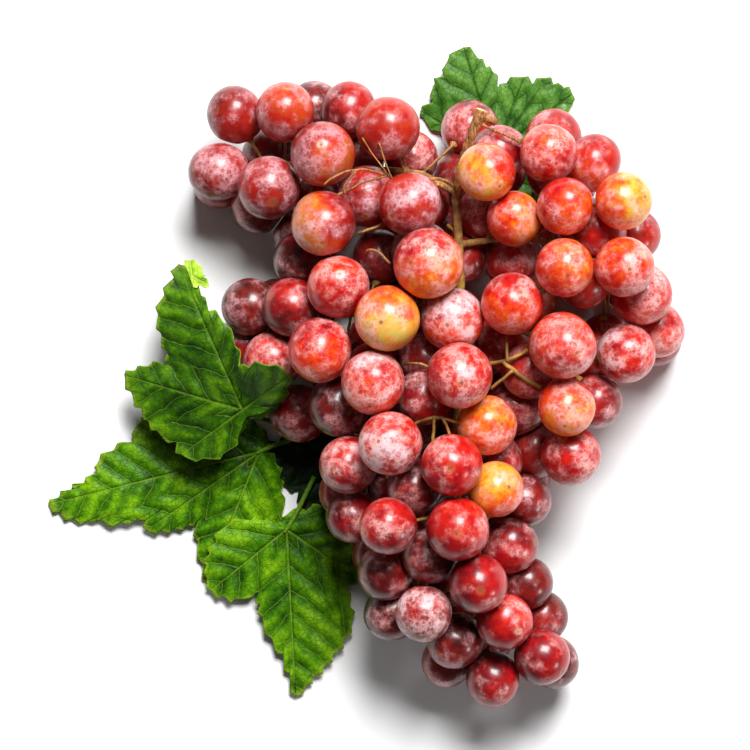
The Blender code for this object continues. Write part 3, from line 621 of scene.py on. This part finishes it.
@dataclass
class Berry:
    """One berry: an egg on its stalk, dimpled at the stem and pressed flat where it meets others."""

    name: str
    node: str
    centre: Vector
    radius: float
    look: BerryLook
    number: int
    detail: int = 5
    oval: float = 1.03
    dimple: float = 0.055
    pit: float = 0.018
    lumps: float = 0.012
    dimple_width: float = 0.022
    pit_width: float = 0.004
    contact_softness: float = 0.0009
    contact_gap: float = 0.0001
    middle_radius: float = 0.012
    towards_stem: Vector = field(default_factory=lambda: Vector((0.0, 0.0, -1.0)))
    neighbours: list = field(default_factory=list)

    def hang(self, stem_points: np.ndarray) -> None:
        """Point the berry at the end of its stalk.

        Args:
            stem_points: The points of the CAD stem.
        """
        gap = np.linalg.norm(stem_points - np.array(self.centre), axis=1)
        nearest = Vector(stem_points[int(gap.argmin())])
        self.towards_stem = (nearest - self.centre).normalized()

    def _shape(self, unit: np.ndarray) -> np.ndarray:
        """Turn unit directions into the skin's points around the centre.

        Args:
            unit: A row for each direction.

        Returns:
            The points, in the same order.
        """
        axis = np.array(self.towards_stem)
        along = unit @ axis
        seed = Vector((self.number * 3.1, self.number * 1.7, self.number * 0.9))
        lump = np.array([noise.noise(Vector(row) * 1.25 + seed) for row in unit])
        reach = 1.0 + self.lumps * lump * 2.0
        reach -= self.dimple * np.exp(-(1.0 - along) / self.dimple_width)
        reach -= self.pit * np.exp(-(1.0 + along) / self.pit_width)
        points = unit * reach[:, None]
        slim = self.oval ** -0.35
        return self.radius * (points * slim + np.outer(points @ axis, axis) * (self.oval - slim))

    def _press(self, points: np.ndarray) -> np.ndarray:
        """Flatten the skin softly where it meets the neighbouring berries.

        Args:
            points: The skin's points around the centre.

        Returns:
            The pressed points.
        """
        soft = self.contact_softness
        for centre, radius in self.neighbours:
            away = centre - self.centre
            gap = away.length
            axis = np.array(away) / gap
            wall = (gap ** 2 + self.radius ** 2 - radius ** 2) / (2.0 * gap) - self.contact_gap
            reach = points @ axis
            over = np.maximum(reach - (wall - soft), 0.0)
            points -= np.outer(np.where(over > 0.0, over - soft * (1.0 - np.exp(-over / soft)), 0.0), axis)
        return points

    def build(self, skin: bpy.types.Material) -> bpy.types.Object:
        """Build and dress the berry.

        Args:
            skin: The shared skin material.

        Returns:
            The berry.
        """
        work = bmesh.new()
        bmesh.ops.create_icosphere(work, subdivisions=self.detail, radius=1.0)
        mesh = as_mesh(self.name, work)
        unit = mesh_points(mesh)
        unit /= np.linalg.norm(unit, axis=1)[:, None]
        points = self._press(self._shape(unit))
        set_points(mesh, points + np.array(self.centre))
        place = mesh.attributes.new("skin_place", "FLOAT_VECTOR", "POINT")
        shift = np.array([self.number * 7.3 % 50, self.number * 3.7 % 50, self.number * 5.9 % 50])
        scale = self.radius / self.middle_radius
        place.data.foreach_set("vector", (unit * scale + shift).astype(np.float32).reshape(-1))
        # top: the mostly upward side that gets more pale bloom, partly real wax and partly painted light on the
        # lit top
        top = Vector((math.sin(self.number * 2.4), math.cos(self.number * 1.9), 1.2)).normalized()
        point_numbers(mesh, "blush_and_glow", unit @ np.array(self.look.blush_and_glow()))
        point_numbers(mesh, "stem_side", unit @ np.array(self.towards_stem))
        point_numbers(mesh, "wax_and_lit_side", unit @ np.array(top))
        look = self.look
        levels = {"tone_low": look.low, "tone_high": look.high, "wax": look.wax, "dull": look.dull}
        for name, level in levels.items():
            point_numbers(mesh, name, np.full(len(unit), level))
        berry = to_object(self.name, mesh, skin)
        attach(berry, "root")
        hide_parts(self.node)
        return (berry, "skin_dark" if self.look.low < 0.32 else "skin_red")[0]


@dataclass
class Bunch:
    """All the berries of the bunch, found from the frame's own nodes.

    Two radii times near is how far off a neighbour may be. A facet's corners belong to a berry where they lie
    within fit_error of a sphere of one of these radii, in millimetres, that enough other corners vote for.
    """

    stem_points: np.ndarray
    near: float = 1.12
    fit_error: float = 0.005
    radii: tuple[float, float] = (9.0, 16.0)
    same_centre: float = 0.0004
    fewest_votes: int = 3
    berries: list[Berry] = field(default_factory=list, init=False)

    def __post_init__(self) -> None:
        """Find the berries, and hang each on the stem."""
        for node in sorted(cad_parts):
            if node.startswith("berry_"):
                _, spray, number = node.split("_")
                low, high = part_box(node)
                look = SPRAY_LOOKS[Spray(spray)].of(int(number))
                self._add(node, node, (low + high) / 2.0, (high.z - low.z) / 2.0, look, 5)
            elif node.startswith("berries_inner"):
                for count, (centre, radius) in enumerate(self._balls(node), 1):
                    name = f"berry_{node[8:]}_{count:02d}"
                    self._add(name, node, centre, radius, self._inner_look_in_painted_shade(centre, len(self.berries)), 4)
        for berry in self.berries:
            berry.hang(self.stem_points)
            berry.neighbours = [
                (other.centre, other.radius) for other in self.berries if other is not berry
                and (other.centre - berry.centre).length < (other.radius + berry.radius) * self.near]
        LOG.info("%d berries found", len(self.berries))

    def _add(self, name: str, node: str, centre: Vector, radius: float, look: BerryLook, detail: int) -> None:
        """Add one berry, its oval drawn from its number.

        Args:
            name: The berry's name.
            node: The CAD node that it stands for.
            centre: Its centre.
            radius: Its radius.
            look: Its look.
            detail: Its number of subdivisions.
        """
        number = len(self.berries) + 1
        oval = 1.025 + 0.035 * math.sin(number * 2.7)
        self.berries.append(Berry(name, node, centre, radius, look, number, detail, oval))

    def _balls(self, node: str) -> list[tuple[Vector, float]]:
        """Find the spheres that a joined node is made of.

        Args:
            node: The CAD node's name.

        Returns:
            Each sphere's centre and radius.
        """
        work = merged_copy(node)
        found: list[list] = []
        for vert in work.verts:
            ring = [edge.other_vert(vert) for edge in vert.link_edges]
            corners = np.array([list(v.co) for v in [vert, *ring]])
            if len(corners) < 5:
                continue
            middle = corners.mean(axis=0)
            local = (corners - middle) / MM
            matrix = np.hstack([2.0 * local, np.ones((len(local), 1))])
            solution, _, rank, _ = np.linalg.lstsq(matrix, (local ** 2).sum(axis=1), rcond=None)
            radius = math.sqrt(max(solution[3] + solution[:3] @ solution[:3], 0.0))
            error = np.abs(np.linalg.norm(local - solution[:3], axis=1) - radius).max()
            if rank < 4 or error > self.fit_error or not self.radii[0] < radius < self.radii[1]:
                continue
            centre = solution[:3] * MM + middle
            for entry in found:
                if np.linalg.norm(entry[0] - centre) < self.same_centre:
                    entry[2] += 1
                    break
            else:
                found.append([centre, radius * MM, 1])
        work.free()
        return [(Vector(centre), radius) for centre, radius, votes in found if votes >= self.fewest_votes]

    @staticmethod
    def _inner_look_in_painted_shade(centre: Vector, number: int) -> BerryLook:
        """A look for a berry behind the front ones, with darker tones and less wax than theirs as painted shade
        between the front berries: warmer at the shoulder, darker at the wing and the tail.

        Args:
            centre: The berry's centre.
            number: Its number, as the seed.

        Returns:
            The look.
        """
        rng = np.random.default_rng(number)
        warm = max(0.0, min(1.0, (centre.x + 0.01) / 0.08)) * max(0.0, min(1.0, (centre.y + 0.05) / 0.06))
        # painted shade: the inner berries' tones and wax start lower than the front ones', to darken the gaps
        # between the front berries
        low = 0.14 + 0.22 * warm + rng.uniform(-0.06, 0.08)
        wax = rng.uniform(0.18, 0.48) + (0.06 if warm > 0.3 else -0.04)
        return BerryLook(low, low + rng.uniform(0.06, 0.26), wax, rng.uniform(0, 360), rng.uniform(0.2, 0.8))

    def build(self, skin: bpy.types.Material) -> None:
        """Build every berry in the shared skin."""
        for berry in self.berries:
            berry.build(skin)
            LOG.info("%s stands for %s", berry.name, berry.node)


# ---- stem ----

@dataclass
class Stem:
    """The branching stem: rough wood at the cut end, soft stalks with a collar at each berry."""

    grain: float = 0.0005
    collar_wide: float = 0.0021
    collar_narrow: float = 0.0009
    collar_length: float = 0.0018
    roughness: float = 0.00022
    collar_sink: float = 0.0002
    woody_from: float = 0.012
    woody_fade: float = 0.055
    cut_reach: float = 0.006

    def points(self) -> np.ndarray:
        """The points of the CAD stem."""
        return mesh_points(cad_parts["stem"].data)

    def _add_collars(self, work: bmesh.types.BMesh, berries: Iterable[Berry]) -> None:
        """Add a small collar where each stalk meets its berry.

        Args:
            work: The stem's mesh.
            berries: The berries on their stalks.
        """
        for berry in berries:
            axis = berry.towards_stem
            middle = berry.centre + axis * (berry.radius - self.collar_sink + self.collar_length / 2.0)
            turn = Vector((0.0, 0.0, 1.0)).rotation_difference(axis).to_matrix().to_4x4()
            bmesh.ops.create_cone(work, cap_ends=True, segments=12, radius1=self.collar_wide,
                                  radius2=self.collar_narrow, depth=self.collar_length,
                                  matrix=Matrix.Translation(middle) @ turn)

    def build(self, bark: bpy.types.Material, berries: Iterable[Berry]) -> bpy.types.Object:
        """Build and dress the stem.

        Args:
            bark: The stem's finish.
            berries: The berries that hang on it.

        Returns:
            The stem.
        """
        work = merged_copy("stem")
        self._add_collars(work, berries)
        rough = linked("stem_shape", as_mesh("stem_shape", work))
        remesh = rough.modifiers.new("grain", "REMESH")
        remesh.mode = "VOXEL"
        remesh.voxel_size = self.grain
        smooth = rough.modifiers.new("soften", "SMOOTH")
        smooth.factor = 0.5
        smooth.iterations = 3
        shape = evaluated(rough)
        points = mesh_points(shape)
        normals = np.zeros(len(points) * 3)
        shape.vertex_normals.foreach_get("vector", normals)
        cut = Vector(points[int(points[:, 1].argmax())])
        from_cut = np.linalg.norm(points - np.array(cut), axis=1)
        woody = np.clip(1.0 - (from_cut - self.woody_from) / self.woody_fade, 0.0, 1.0)
        bumps = np.array([noise.noise(Vector(row) * 420.0) + 0.6 * noise.noise(Vector(row) * 1100.0)
                          for row in points])
        size = self.roughness * (0.35 + 0.9 * woody)
        set_points(shape, points + normals.reshape(-1, 3) * (bumps * size)[:, None])
        point_numbers(shape, "woody", woody)
        facing = normals.reshape(-1, 3)[:, 1]
        point_numbers(shape, "cut", np.clip((facing - 0.75) * 6.0, 0.0, 1.0) * (from_cut < self.cut_reach))
        stem = to_object("stem_and_stalks", shape, bark)
        LOG.info("stem of %d faces", len(shape.polygons))
        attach(stem, "root")
        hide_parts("stem")
        return stem


# ---- leaves ----

@dataclass
class Leaf:
    """One vine leaf: a toothed, veined blade with its stalk.

    Directions are in degrees and lengths in millimetres, around the point where the veins meet.
    """

    name: str
    middle: tuple[float, float]
    outline: list[tuple[float, float]]
    stalk: list[tuple[float, float, float]]
    finish: LeafBlade
    seed: int
    quilt: float = 0.55
    groove: float = 0.35
    wave: float = 1.3
    tooth_pitch: float = 6.6
    tooth_depth: float = 2.5
    sample: float = 0.8
    rings: int = 42
    thickness: float = 0.00035
    vein_pitch: float = 9.5
    lies_on: str = ""
    lift: float = 0.0
    calm_rounds: int = 14
    lowest: float = 0.0006
    stalk_widths: tuple[float, float, float] = (0.0011, 0.0017, 0.0019)

    def _tips(self) -> np.ndarray:
        """The directions of the lobes' tips, in radians."""
        ring = self.outline[-1:] + self.outline + self.outline[:1]
        return np.array([math.radians(here[0]) for before, here, after in zip(ring, self.outline, ring[2:])
                         if here[1] > before[1] and here[1] > after[1]])

    def _margin(self) -> np.ndarray:
        """The toothed margin as points around the middle, in millimetres."""
        corners = [np.array([reach * math.cos(math.radians(turn)), reach * math.sin(math.radians(turn))])
                   for turn, reach in self.outline]
        rows, done = [], 0.0
        for start, end in zip(corners, corners[1:] + corners[:1]):
            edge = end - start
            length = float(np.linalg.norm(edge))
            outward = np.array([edge[1], -edge[0]]) / length
            steps = max(2, round(length / self.sample))
            teeth = max(1, round(length / self.tooth_pitch))
            for k in range(steps):
                share = k / steps
                tooth = (share * teeth) % 1.0
                swell = 0.04 * length * math.sin(math.pi * share)
                size = self.tooth_depth * (0.75 + 0.5 * noise.noise(Vector((done * 0.13, self.seed, 0.0))))
                saw = tooth / 0.72 if tooth < 0.72 else (1.0 - tooth) / 0.28
                rows.append(start + edge * share + outward * (swell + size * (saw ** 1.3 - 0.25)))
                done += length / steps
        return np.array(rows)

    def _vein_place(self, spots: np.ndarray, guide: np.ndarray) -> np.ndarray:
        """Place along and across the nearest main vein.

        Args:
            spots: Points around the middle, in millimetres.
            guide: For each, the point whose nearest vein is taken.

        Returns:
            Rows of (along, across), in millimetres.
        """
        tips = self._tips()
        aim = np.arctan2(guide[:, 1], guide[:, 0])
        off = (aim[:, None] - tips[None] + math.pi) % (2.0 * math.pi) - math.pi
        vein = tips[np.abs(off).argmin(axis=1)]
        along = spots[:, 0] * np.cos(vein) + spots[:, 1] * np.sin(vein)
        across = np.abs(spots[:, 1] * np.cos(vein) - spots[:, 0] * np.sin(vein))
        return np.stack([along, across], axis=1)

    def _relief(self, plan: np.ndarray, share: np.ndarray) -> np.ndarray:
        """The blade's pillows, vein grooves and waves.

        Args:
            plan: Points around the middle, in millimetres.
            share: How far out each lies, from 0 in the middle to 1 at the margin.

        Returns:
            Their heights, in millimetres.
        """
        place = self._vein_place(plan, plan)
        branch = ((place[:, 0] - place[:, 1] * 0.9) / self.vein_pitch) % 1.0
        pillow = np.sqrt(np.maximum(0.0, 1.0 - (1.0 - np.abs(branch - 0.5) * 2.0) ** 2))
        pillow *= np.clip(place[:, 1] / 4.0, 0.0, 1.0) * np.clip((1.0 - share) / 0.12, 0.15, 1.0)
        groove = np.exp(-(place[:, 1] / 0.8) ** 2)
        seed = Vector((self.seed * 5.0, 0.0, 0.0))
        slow = np.array([noise.noise(Vector((x * 0.045, y * 0.045, 0.0)) + seed) for x, y in plan])
        fast = np.array([noise.noise(Vector((x * 0.16, y * 0.16, 4.0)) + seed) for x, y in plan])
        return (self.quilt * pillow - self.groove * groove + self.wave * slow * share * 1.6
                + self.wave * 0.5 * fast * share ** 2)

    def _heights(self, world: np.ndarray) -> np.ndarray:
        """The CAD leaf's upper surface.

        Args:
            world: Plan points, in metres.

        Returns:
            Its height over each, in metres.
        """
        work = merged_copy(self.lies_on or self.name)
        tree = BVHTree.FromBMesh(work)
        work.free()
        heights = []
        for x, y in world:
            hit = tree.ray_cast(Vector((x, y, 1.0)), Vector((0.0, 0.0, -1.0)))[0]
            if hit is None:
                hit = tree.find_nearest(Vector((x, y, heights[-1] if heights else 0.01)))[0]
            heights.append(hit.z)
        return np.array(heights) + self.lift * MM

    def build(self, shift: Vector) -> bpy.types.Object:
        """Build and dress the leaf.

        Args:
            shift: From the layout's origin to the frame's.

        Returns:
            The leaf.
        """
        margin = self._margin()
        around, rings = len(margin), self.rings
        work = bmesh.new()
        bmesh.ops.create_grid(work, x_segments=around, y_segments=rings, size=0.5)
        mesh = as_mesh(self.name, work)
        grid = mesh_points(mesh)
        column = np.rint((grid[:, 0] + 0.5) * around).astype(int)
        share = np.clip(grid[:, 1] + 0.5, 0.0, 1.0)
        edge = margin[column % around]
        smooth_edge = (np.roll(margin, 4, axis=0) + np.roll(margin, -4, axis=0) + np.roll(margin, 2, axis=0)
                       + np.roll(margin, -2, axis=0) + margin)[column % around] / 5.0
        tooth = np.clip((share - 0.8) / 0.2, 0.0, 1.0)[:, None]
        plan = (smooth_edge * (1.0 - tooth) + edge * tooth) * share[:, None]
        world = plan * MM + np.array(self.middle) * MM + np.array(shift)[:2]
        heights = self._calm(self._heights(world), column, share)
        surface = heights + self._relief(plan, share) * MM
        set_points(mesh, np.column_stack([world, np.maximum(surface, self.lowest)]))
        self._map_veins(mesh, plan)
        point_numbers(mesh, "edge_share", share)
        sheet = linked(self.name, mesh)
        weld = bmesh.new()
        weld.from_mesh(mesh)
        bmesh.ops.remove_doubles(weld, verts=weld.verts, dist=0.000002)
        bmesh.ops.recalc_face_normals(weld, faces=weld.faces)
        if sum(face.normal.z * face.calc_area() for face in weld.faces) < 0.0:
            bmesh.ops.reverse_faces(weld, faces=weld.faces)
        weld.to_mesh(mesh)
        weld.free()
        thicken = sheet.modifiers.new("thickness", "SOLIDIFY")
        thicken.thickness = self.thickness
        thicken.offset = -1.0
        blade = evaluated(sheet)
        whole = bmesh.new()
        whole.from_mesh(blade)
        if self.stalk:
            whole.from_mesh(self._stalk(shift, float(heights[share == 0.0].mean())))
        whole.to_mesh(blade)
        whole.free()
        leaf = to_object(self.name + "_blade", blade, self.finish.material())
        LOG.info("%s of %d faces", self.name, len(blade.polygons))
        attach(leaf, "root")
        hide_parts(self.lies_on or self.name)
        return leaf

    def _calm(self, heights: np.ndarray, column: np.ndarray, share: np.ndarray) -> np.ndarray:
        """Smooth the CAD surface's facets away, ring by ring and spoke by spoke.

        Args:
            heights: The CAD surface's height at each point.
            column: Each point's spoke.
            share: How far out it lies.

        Returns:
            The calmed heights.
        """
        ring = np.rint(share * self.rings).astype(int)
        table = np.zeros((ring.max() + 1, column.max() + 1))
        table[ring, column] = heights
        for _ in range(self.calm_rounds):
            table = (table + np.roll(table, 3, axis=1) + np.roll(table, -3, axis=1)) / 3.0
            table[1:-1] = (table[:-2] + table[1:-1] + table[2:]) / 3.0
            table[0] = table[0].mean()
        return table[ring, column]

    def _map_veins(self, mesh: bpy.types.Mesh, plan: np.ndarray) -> None:
        """Store the place along and across the veins as a UV map, in centimetres.

        Args:
            mesh: The flat blade.
            plan: Its points around the middle, in millimetres.
        """
        layer = mesh.uv_layers.new(name="veins")
        corners = np.zeros(len(mesh.loops), int)
        mesh.loops.foreach_get("vertex_index", corners)
        owner = np.zeros(len(mesh.loops), int)
        for polygon in mesh.polygons:
            owner[polygon.loop_start:polygon.loop_start + polygon.loop_total] = polygon.index
        total = np.zeros((len(mesh.polygons), 2))
        np.add.at(total, owner, plan[corners])
        place = self._vein_place(plan[corners], total[owner] / 4.0)
        layer.data.foreach_set("uv", (place / 10.0).astype(np.float32).reshape(-1))

    def _stalk(self, shift: Vector, height: float) -> bpy.types.Mesh:
        """The leaf's stalk, slimmer where it runs into the blade.

        Args:
            shift: From the layout's origin to the frame's.
            height: The blade's height where the veins meet.

        Returns:
            The stalk.
        """
        middle = Vector((self.middle[0] * MM + shift.x, self.middle[1] * MM + shift.y, height))
        further = [Vector((x * MM + shift.x, y * MM + shift.y, z * MM + shift.z)) for x, y, z in self.stalk]
        away = (middle - further[0]) * 0.25
        points = [middle + Vector((away.x, away.y, 0.0)), middle] + further
        start, middle_width, rest = self.stalk_widths
        return tube(points, [start, middle_width] + [rest] * len(further), 5)


def vine_leaves() -> list[Leaf]:
    """The five leaves and the upper left one's curled lobe, with their finishes."""
    fresh = LeafBlade("leaf_fresh", srgb(18, 50, 0), srgb(48, 92, 0), srgb(92, 138, 6), srgb(118, 158, 38),
                      srgb(132, 160, 40), 0.34)
    lively = LeafBlade("leaf_lively", srgb(22, 60, 0), srgb(62, 115, 0), srgb(116, 166, 10),
                       srgb(140, 180, 52), srgb(146, 172, 44), 0.34)
    # painted shade: near-black greens for the leaf that lies deep under the berries
    shaded = LeafBlade("leaf_shaded", srgb(4, 14, 2), srgb(10, 28, 4), srgb(26, 54, 10), srgb(44, 74, 22),
                       srgb(40, 60, 20), 0.4)
    cool = LeafBlade("leaf_cool", srgb(34, 76, 14), srgb(60, 106, 28), srgb(90, 134, 48), srgb(26, 58, 14),
                     srgb(110, 146, 56), 0.6, damage=0.75)
    pale = LeafBlade("leaf_pale", srgb(104, 150, 16), srgb(152, 192, 40), srgb(206, 228, 104),
                     srgb(196, 216, 110), srgb(214, 226, 130), 0.4)
    return [
        Leaf("leaf_underneath", (-12, -20), [
            (0, 12), (40, 12), (70, 16), (110, 14), (150, 26), (166, 24), (183, 47), (193, 36), (206, 31),
            (216, 27), (236, 33), (253, 25), (272, 30), (300, 15), (330, 18)],
            [(-6, -16, 3.0), (2, -10, 3.2), (10, -6, 3.4)], shaded, 3, wave=0.6),
        Leaf("leaf_lower_left", (-49, -20), [
            (0, 4), (45, 6), (90, 10), (120, 18), (150, 36), (166, 50), (175, 51), (179, 59), (183, 65),
            (187, 66), (190, 72), (194, 88), (200, 81), (203, 71), (207, 63.5), (210, 52), (215, 56),
            (222, 47), (228, 38), (235, 44), (243, 51), (248, 57), (257, 49), (268, 38), (281, 33), (290, 27.5),
            (299, 18.5), (325, 9)], [(-44, -17.5, 7.2), (-36, -15, 5.4), (-28, -13, 5.2)], lively, 5),
        Leaf("leaf_bottom", (-38, -51), [
            (0, 24), (28, 20), (45, 11.5), (83, 7), (120, 3), (150, 5), (164, 15), (175, 24), (190, 29.5),
            (204, 36), (219, 40), (234, 35.5), (245, 28), (254, 37), (262, 45), (268, 51), (271, 59), (273, 68),
            (280, 61), (290, 54.5), (304, 47), (315, 34), (325, 35), (350, 29)],
            [(-34, -45, 8.6), (-31, -38, 6.4), (-27, -30, 5.4)], lively, 8),
        Leaf("leaf_upper_left", (-55, -3), [
            (11, 16.3), (35, 24), (58, 21), (80, 17.5), (93, 17), (96, 26), (101, 35), (109, 42), (111.5, 55),
            (114, 64), (118, 60), (132, 51), (143, 38), (149, 35), (155, 42), (164, 50), (180, 41), (194, 36),
            (206, 30), (216, 31), (231, 25.6), (248, 19), (262, 11), (285, 4), (315, 4), (345, 9.5)],
            [(-50, -6.5, 12.5), (-42, -8.5, 7.8), (-30, -9.5, 5.6)], fresh, 11, wave=1.0),
        Leaf("leaf_curled_lobe", (-75.4, 50.2), [
            (11, 4.5), (63, 5.6), (98, 6.6), (124, 6.2), (164, 3.4), (225, 3.6), (270, 4.6), (308, 4.6),
            (331, 8.2), (350, 4.8)], [], pale, 17, quilt=0.3, wave=2.4, tooth_pitch=3.6, tooth_depth=1.5,
            sample=0.5, rings=14, vein_pitch=3.0, lies_on="leaf_upper_left", lift=1.6),
        Leaf("leaf_top_right", (46, 100), [
            (0, 24), (20, 26), (25, 31), (29, 33.5), (38, 39.5), (44, 38.5), (50, 36.4), (56, 37.2), (62, 32),
            (70, 33), (82, 29), (88, 26), (91.5, 33), (96, 35), (100, 39), (107, 45), (118, 42), (124, 38),
            (132, 37.5), (141, 33), (151, 35), (154, 33), (159, 24.6), (166, 16), (184, 16), (220, 8), (270, 12),
            (305, 26), (330, 26)], [(45, 92, 4.6), (43, 84, 3.6), (41, 76, 3.2)], cool, 14, tooth_depth=2.0)]


@dataclass(frozen=True)
class BareStalk:
    """A stalk whose berry is gone: its line in layout millimetres, its width there, and how dry it is."""

    line: list[tuple[float, float, float]]
    width: float = 1.3
    dry: float = 0.0


@dataclass
class BareStalks:
    """The bare stalks and dry tendrils that show between the front berries.

    A stalk is as wide at its two ends, and between them, as its own width times these shares.
    """

    ends: float = 1.15
    between: float = 0.9
    bump_scale: float = 260.0
    bump_apart: float = 31.7
    bump_size: float = 0.00035
    stalks: tuple[BareStalk, ...] = tuple(BareStalk(*row) for row in (
        ([(38, 15, 52), (42, 15.4, 62), (48.8, 16, 66), (54, 18.6, 67), (56.5, 20.5, 66)], 1.7),
        ([(47, 16, 65.5), (50.8, 12.8, 67), (56.8, 8.2, 67), (62, 6, 64)], 1.7),
        ([(48.8, 16, 66), (49, 20, 66.5), (48.6, 25, 64)], 1.1),
        ([(51, 12.4, 67), (47, 9, 66.5), (42.4, 5.6, 64)], 1.2, 0.3),
        ([(12, -9, 60), (15.2, -6.8, 67), (20.8, -5.0, 70.5), (27.2, -6.6, 70), (32, -8.4, 66)], 1.4),
        ([(20.4, -5, 70.4), (20.6, -10, 70.5), (19.6, -15.6, 68)], 1.1),
        ([(23, -5.2, 70.6), (25.4, -8.6, 71), (26.4, -12.6, 69.6)], 1.1, 0.4),
        ([(9, 15, 60), (11.4, 15.8, 65.5), (14.6, 15.6, 67), (18, 13.8, 64)], 1.1, 0.5),
        ([(29.6, 82, 56), (27.6, 86.4, 61), (22.5, 88.2, 63), (16.4, 86.6, 61)], 1.3, 0.7),
        ([(6, 83.5, 59), (4.4, 86.4, 63), (-1.2, 93.2, 63.5), (-5, 99, 64), (-7.6, 103.4, 62)], 0.6, 0.5),
        ([(5.4, 84.4, 62), (3, 89, 65), (1, 95, 65.5), (-1.2, 101, 66)], 0.55, 0.5),
        ([(1.5, 88.5, 61), (-4, 91.4, 63.5), (-12.8, 90.4, 66), (-18, 88.6, 68),
         (-22.4, 84.6, 67)], 0.8, 0.6),
        ([(3, 88.6, 62), (-4, 86.6, 64.5), (-9.4, 85, 64.5), (-13.6, 82.4, 63.5), (-17, 81, 63)], 0.8, 0.6),
        ([(-10, 90, 65), (-12.4, 87, 65.5), (-16, 84, 65.5), (-14, 81.4, 63.5)], 0.7, 0.6),
        ([(-9, 66, 58), (-6.8, 67.4, 62), (-2, 68, 61), (2, 70.5, 56)], 1.1, 0.8),
        ([(-6, 59, 56), (-3.6, 61.6, 61), (0.4, 57.4, 62), (3.2, 54.2, 58)], 1.0, 0.8)))

    def build(self, bark: bpy.types.Material, shift: Vector) -> bpy.types.Object:
        """Build and dress the stalks as one piece.

        Args:
            bark: The stem's finish.
            shift: From the layout's origin to the frame's.

        Returns:
            The piece.
        """
        work = bmesh.new()
        dry: list[float] = []
        for stalk in self.stalks:
            points = [Vector((x * MM + shift.x, y * MM + shift.y, z * MM * SQUEEZE)) for x, y, z in stalk.line]
            widths = [stalk.width * MM * (self.ends if k in (0, len(points) - 1) else self.between)
                      for k in range(len(points))]
            work.from_mesh(tube(points, widths, 3))
            dry += [stalk.dry] * (len(work.verts) - len(dry))
        mesh = as_mesh("bare_stalks", work)
        points = mesh_points(mesh)
        ways = [Vector((way * self.bump_apart, 0.0, 0.0)) for way in range(3)]
        bumps = np.array([[noise.noise(Vector(row) * self.bump_scale + way) for way in ways]
                          for row in points])
        set_points(mesh, points + bumps * self.bump_size)
        point_numbers(mesh, "woody", np.array(dry))
        point_numbers(mesh, "cut", np.zeros(len(points)))
        piece = to_object("bare_stalks", mesh, bark)
        LOG.info("%d bare stalks", len(self.stalks))
        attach(piece, "root")
        return piece


# ---- surroundings ----

@dataclass(frozen=True)
class Lamp:
    """A square lamp: the direction it hangs in, how far off, its side and its power in watts."""

    name: str
    way: tuple[float, float, float]
    size: float
    power: float
    distance: float = 3.0

    def hang(self) -> None:
        """Hang the lamp, facing the bunch."""
        light = bpy.data.lights.new(self.name, "AREA")
        light.size = self.size
        light.energy = self.power
        lamp = linked(self.name, light)
        direction = Vector(self.way).normalized()
        lamp.location = direction * self.distance
        lamp.rotation_euler = direction.to_track_quat("Z", "Y").to_euler()


@dataclass
class Studio:
    """A pale table, one soft key light, a weak second one, and a camera straight above."""

    table_size: float = 5.0
    lamps: tuple[Lamp, ...] = (Lamp("key_lamp", (0.15, 0.55, 0.80), 1.3, 178.0),
                               Lamp("second_lamp", (0.78, -0.5, 0.33), 0.6, 18.0))
    sky: float = 0.075
    backdrop: float = 1.0
    camera_height: float = 1.8
    camera_place: tuple[float, float] = (0.0044, -0.0006)
    frame_width: float = 0.2945
    frame_level: float = 0.045

    def build(self) -> None:
        """Build the table, the lamps, the room and the camera."""
        scene = bpy.context.scene
        work = bmesh.new()
        bmesh.ops.create_grid(work, x_segments=2, y_segments=2, size=self.table_size / 2.0)
        table = to_object("table", as_mesh("table", work), TableTop().material())
        for lamp in self.lamps:
            lamp.hang()
        world = bpy.data.worlds.new("pale_room")
        world.use_nodes = True
        nodes, links = world.node_tree.nodes, world.node_tree.links
        seen = nodes.new("ShaderNodeLightPath")
        level = nodes.new("ShaderNodeMapRange")
        level.inputs["To Min"].default_value = self.sky
        level.inputs["To Max"].default_value = self.backdrop
        links.new(seen.outputs["Is Camera Ray"], level.inputs["Value"])
        links.new(level.outputs[0], nodes["Background"].inputs["Strength"])
        nodes["Background"].inputs["Color"].default_value = (1.0, 1.0, 1.0, 1.0)
        scene.world = world
        lens = bpy.data.cameras.new("camera")
        lens.sensor_width = 36.0
        lens.lens = 36.0 * (self.camera_height - self.frame_level) / self.frame_width
        camera = linked("camera", lens)
        camera.location = (*self.camera_place, self.camera_height)
        scene.camera = camera
        scene.view_settings.view_transform = "Standard"


def layout_shift() -> Vector:
    """Find the way from the layout's origin to the frame's, read off two of the CAD's leaf tips.

    Returns:
        The shift.
    """
    west = -49.0 + 88.0 * math.cos(math.radians(196.0))      # the western tip of leaf_lower_left's layout
    south = -51.0 + 69.0 * math.sin(math.radians(268.0))     # the southern tip of leaf_bottom's
    return Vector((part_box("leaf_lower_left")[0].x - west * MM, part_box("leaf_bottom")[0].y - south * MM, 0.0))


def main() -> None:
    """Build the whole scene."""
    logging.basicConfig(level=logging.INFO, format="%(message)s")
    stem = Stem()
    bunch = Bunch(stem.points())
    bunch.build(GrapeSkin().material())
    bark = StemBark().material()
    stem.build(bark, bunch.berries)
    leaves = vine_leaves()
    shift = layout_shift()
    BareStalks().build(bark, shift)
    for leaf in leaves:
        leaf.build(shift)
    Studio().build()
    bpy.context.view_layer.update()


if __name__ == "__main__":
    main()
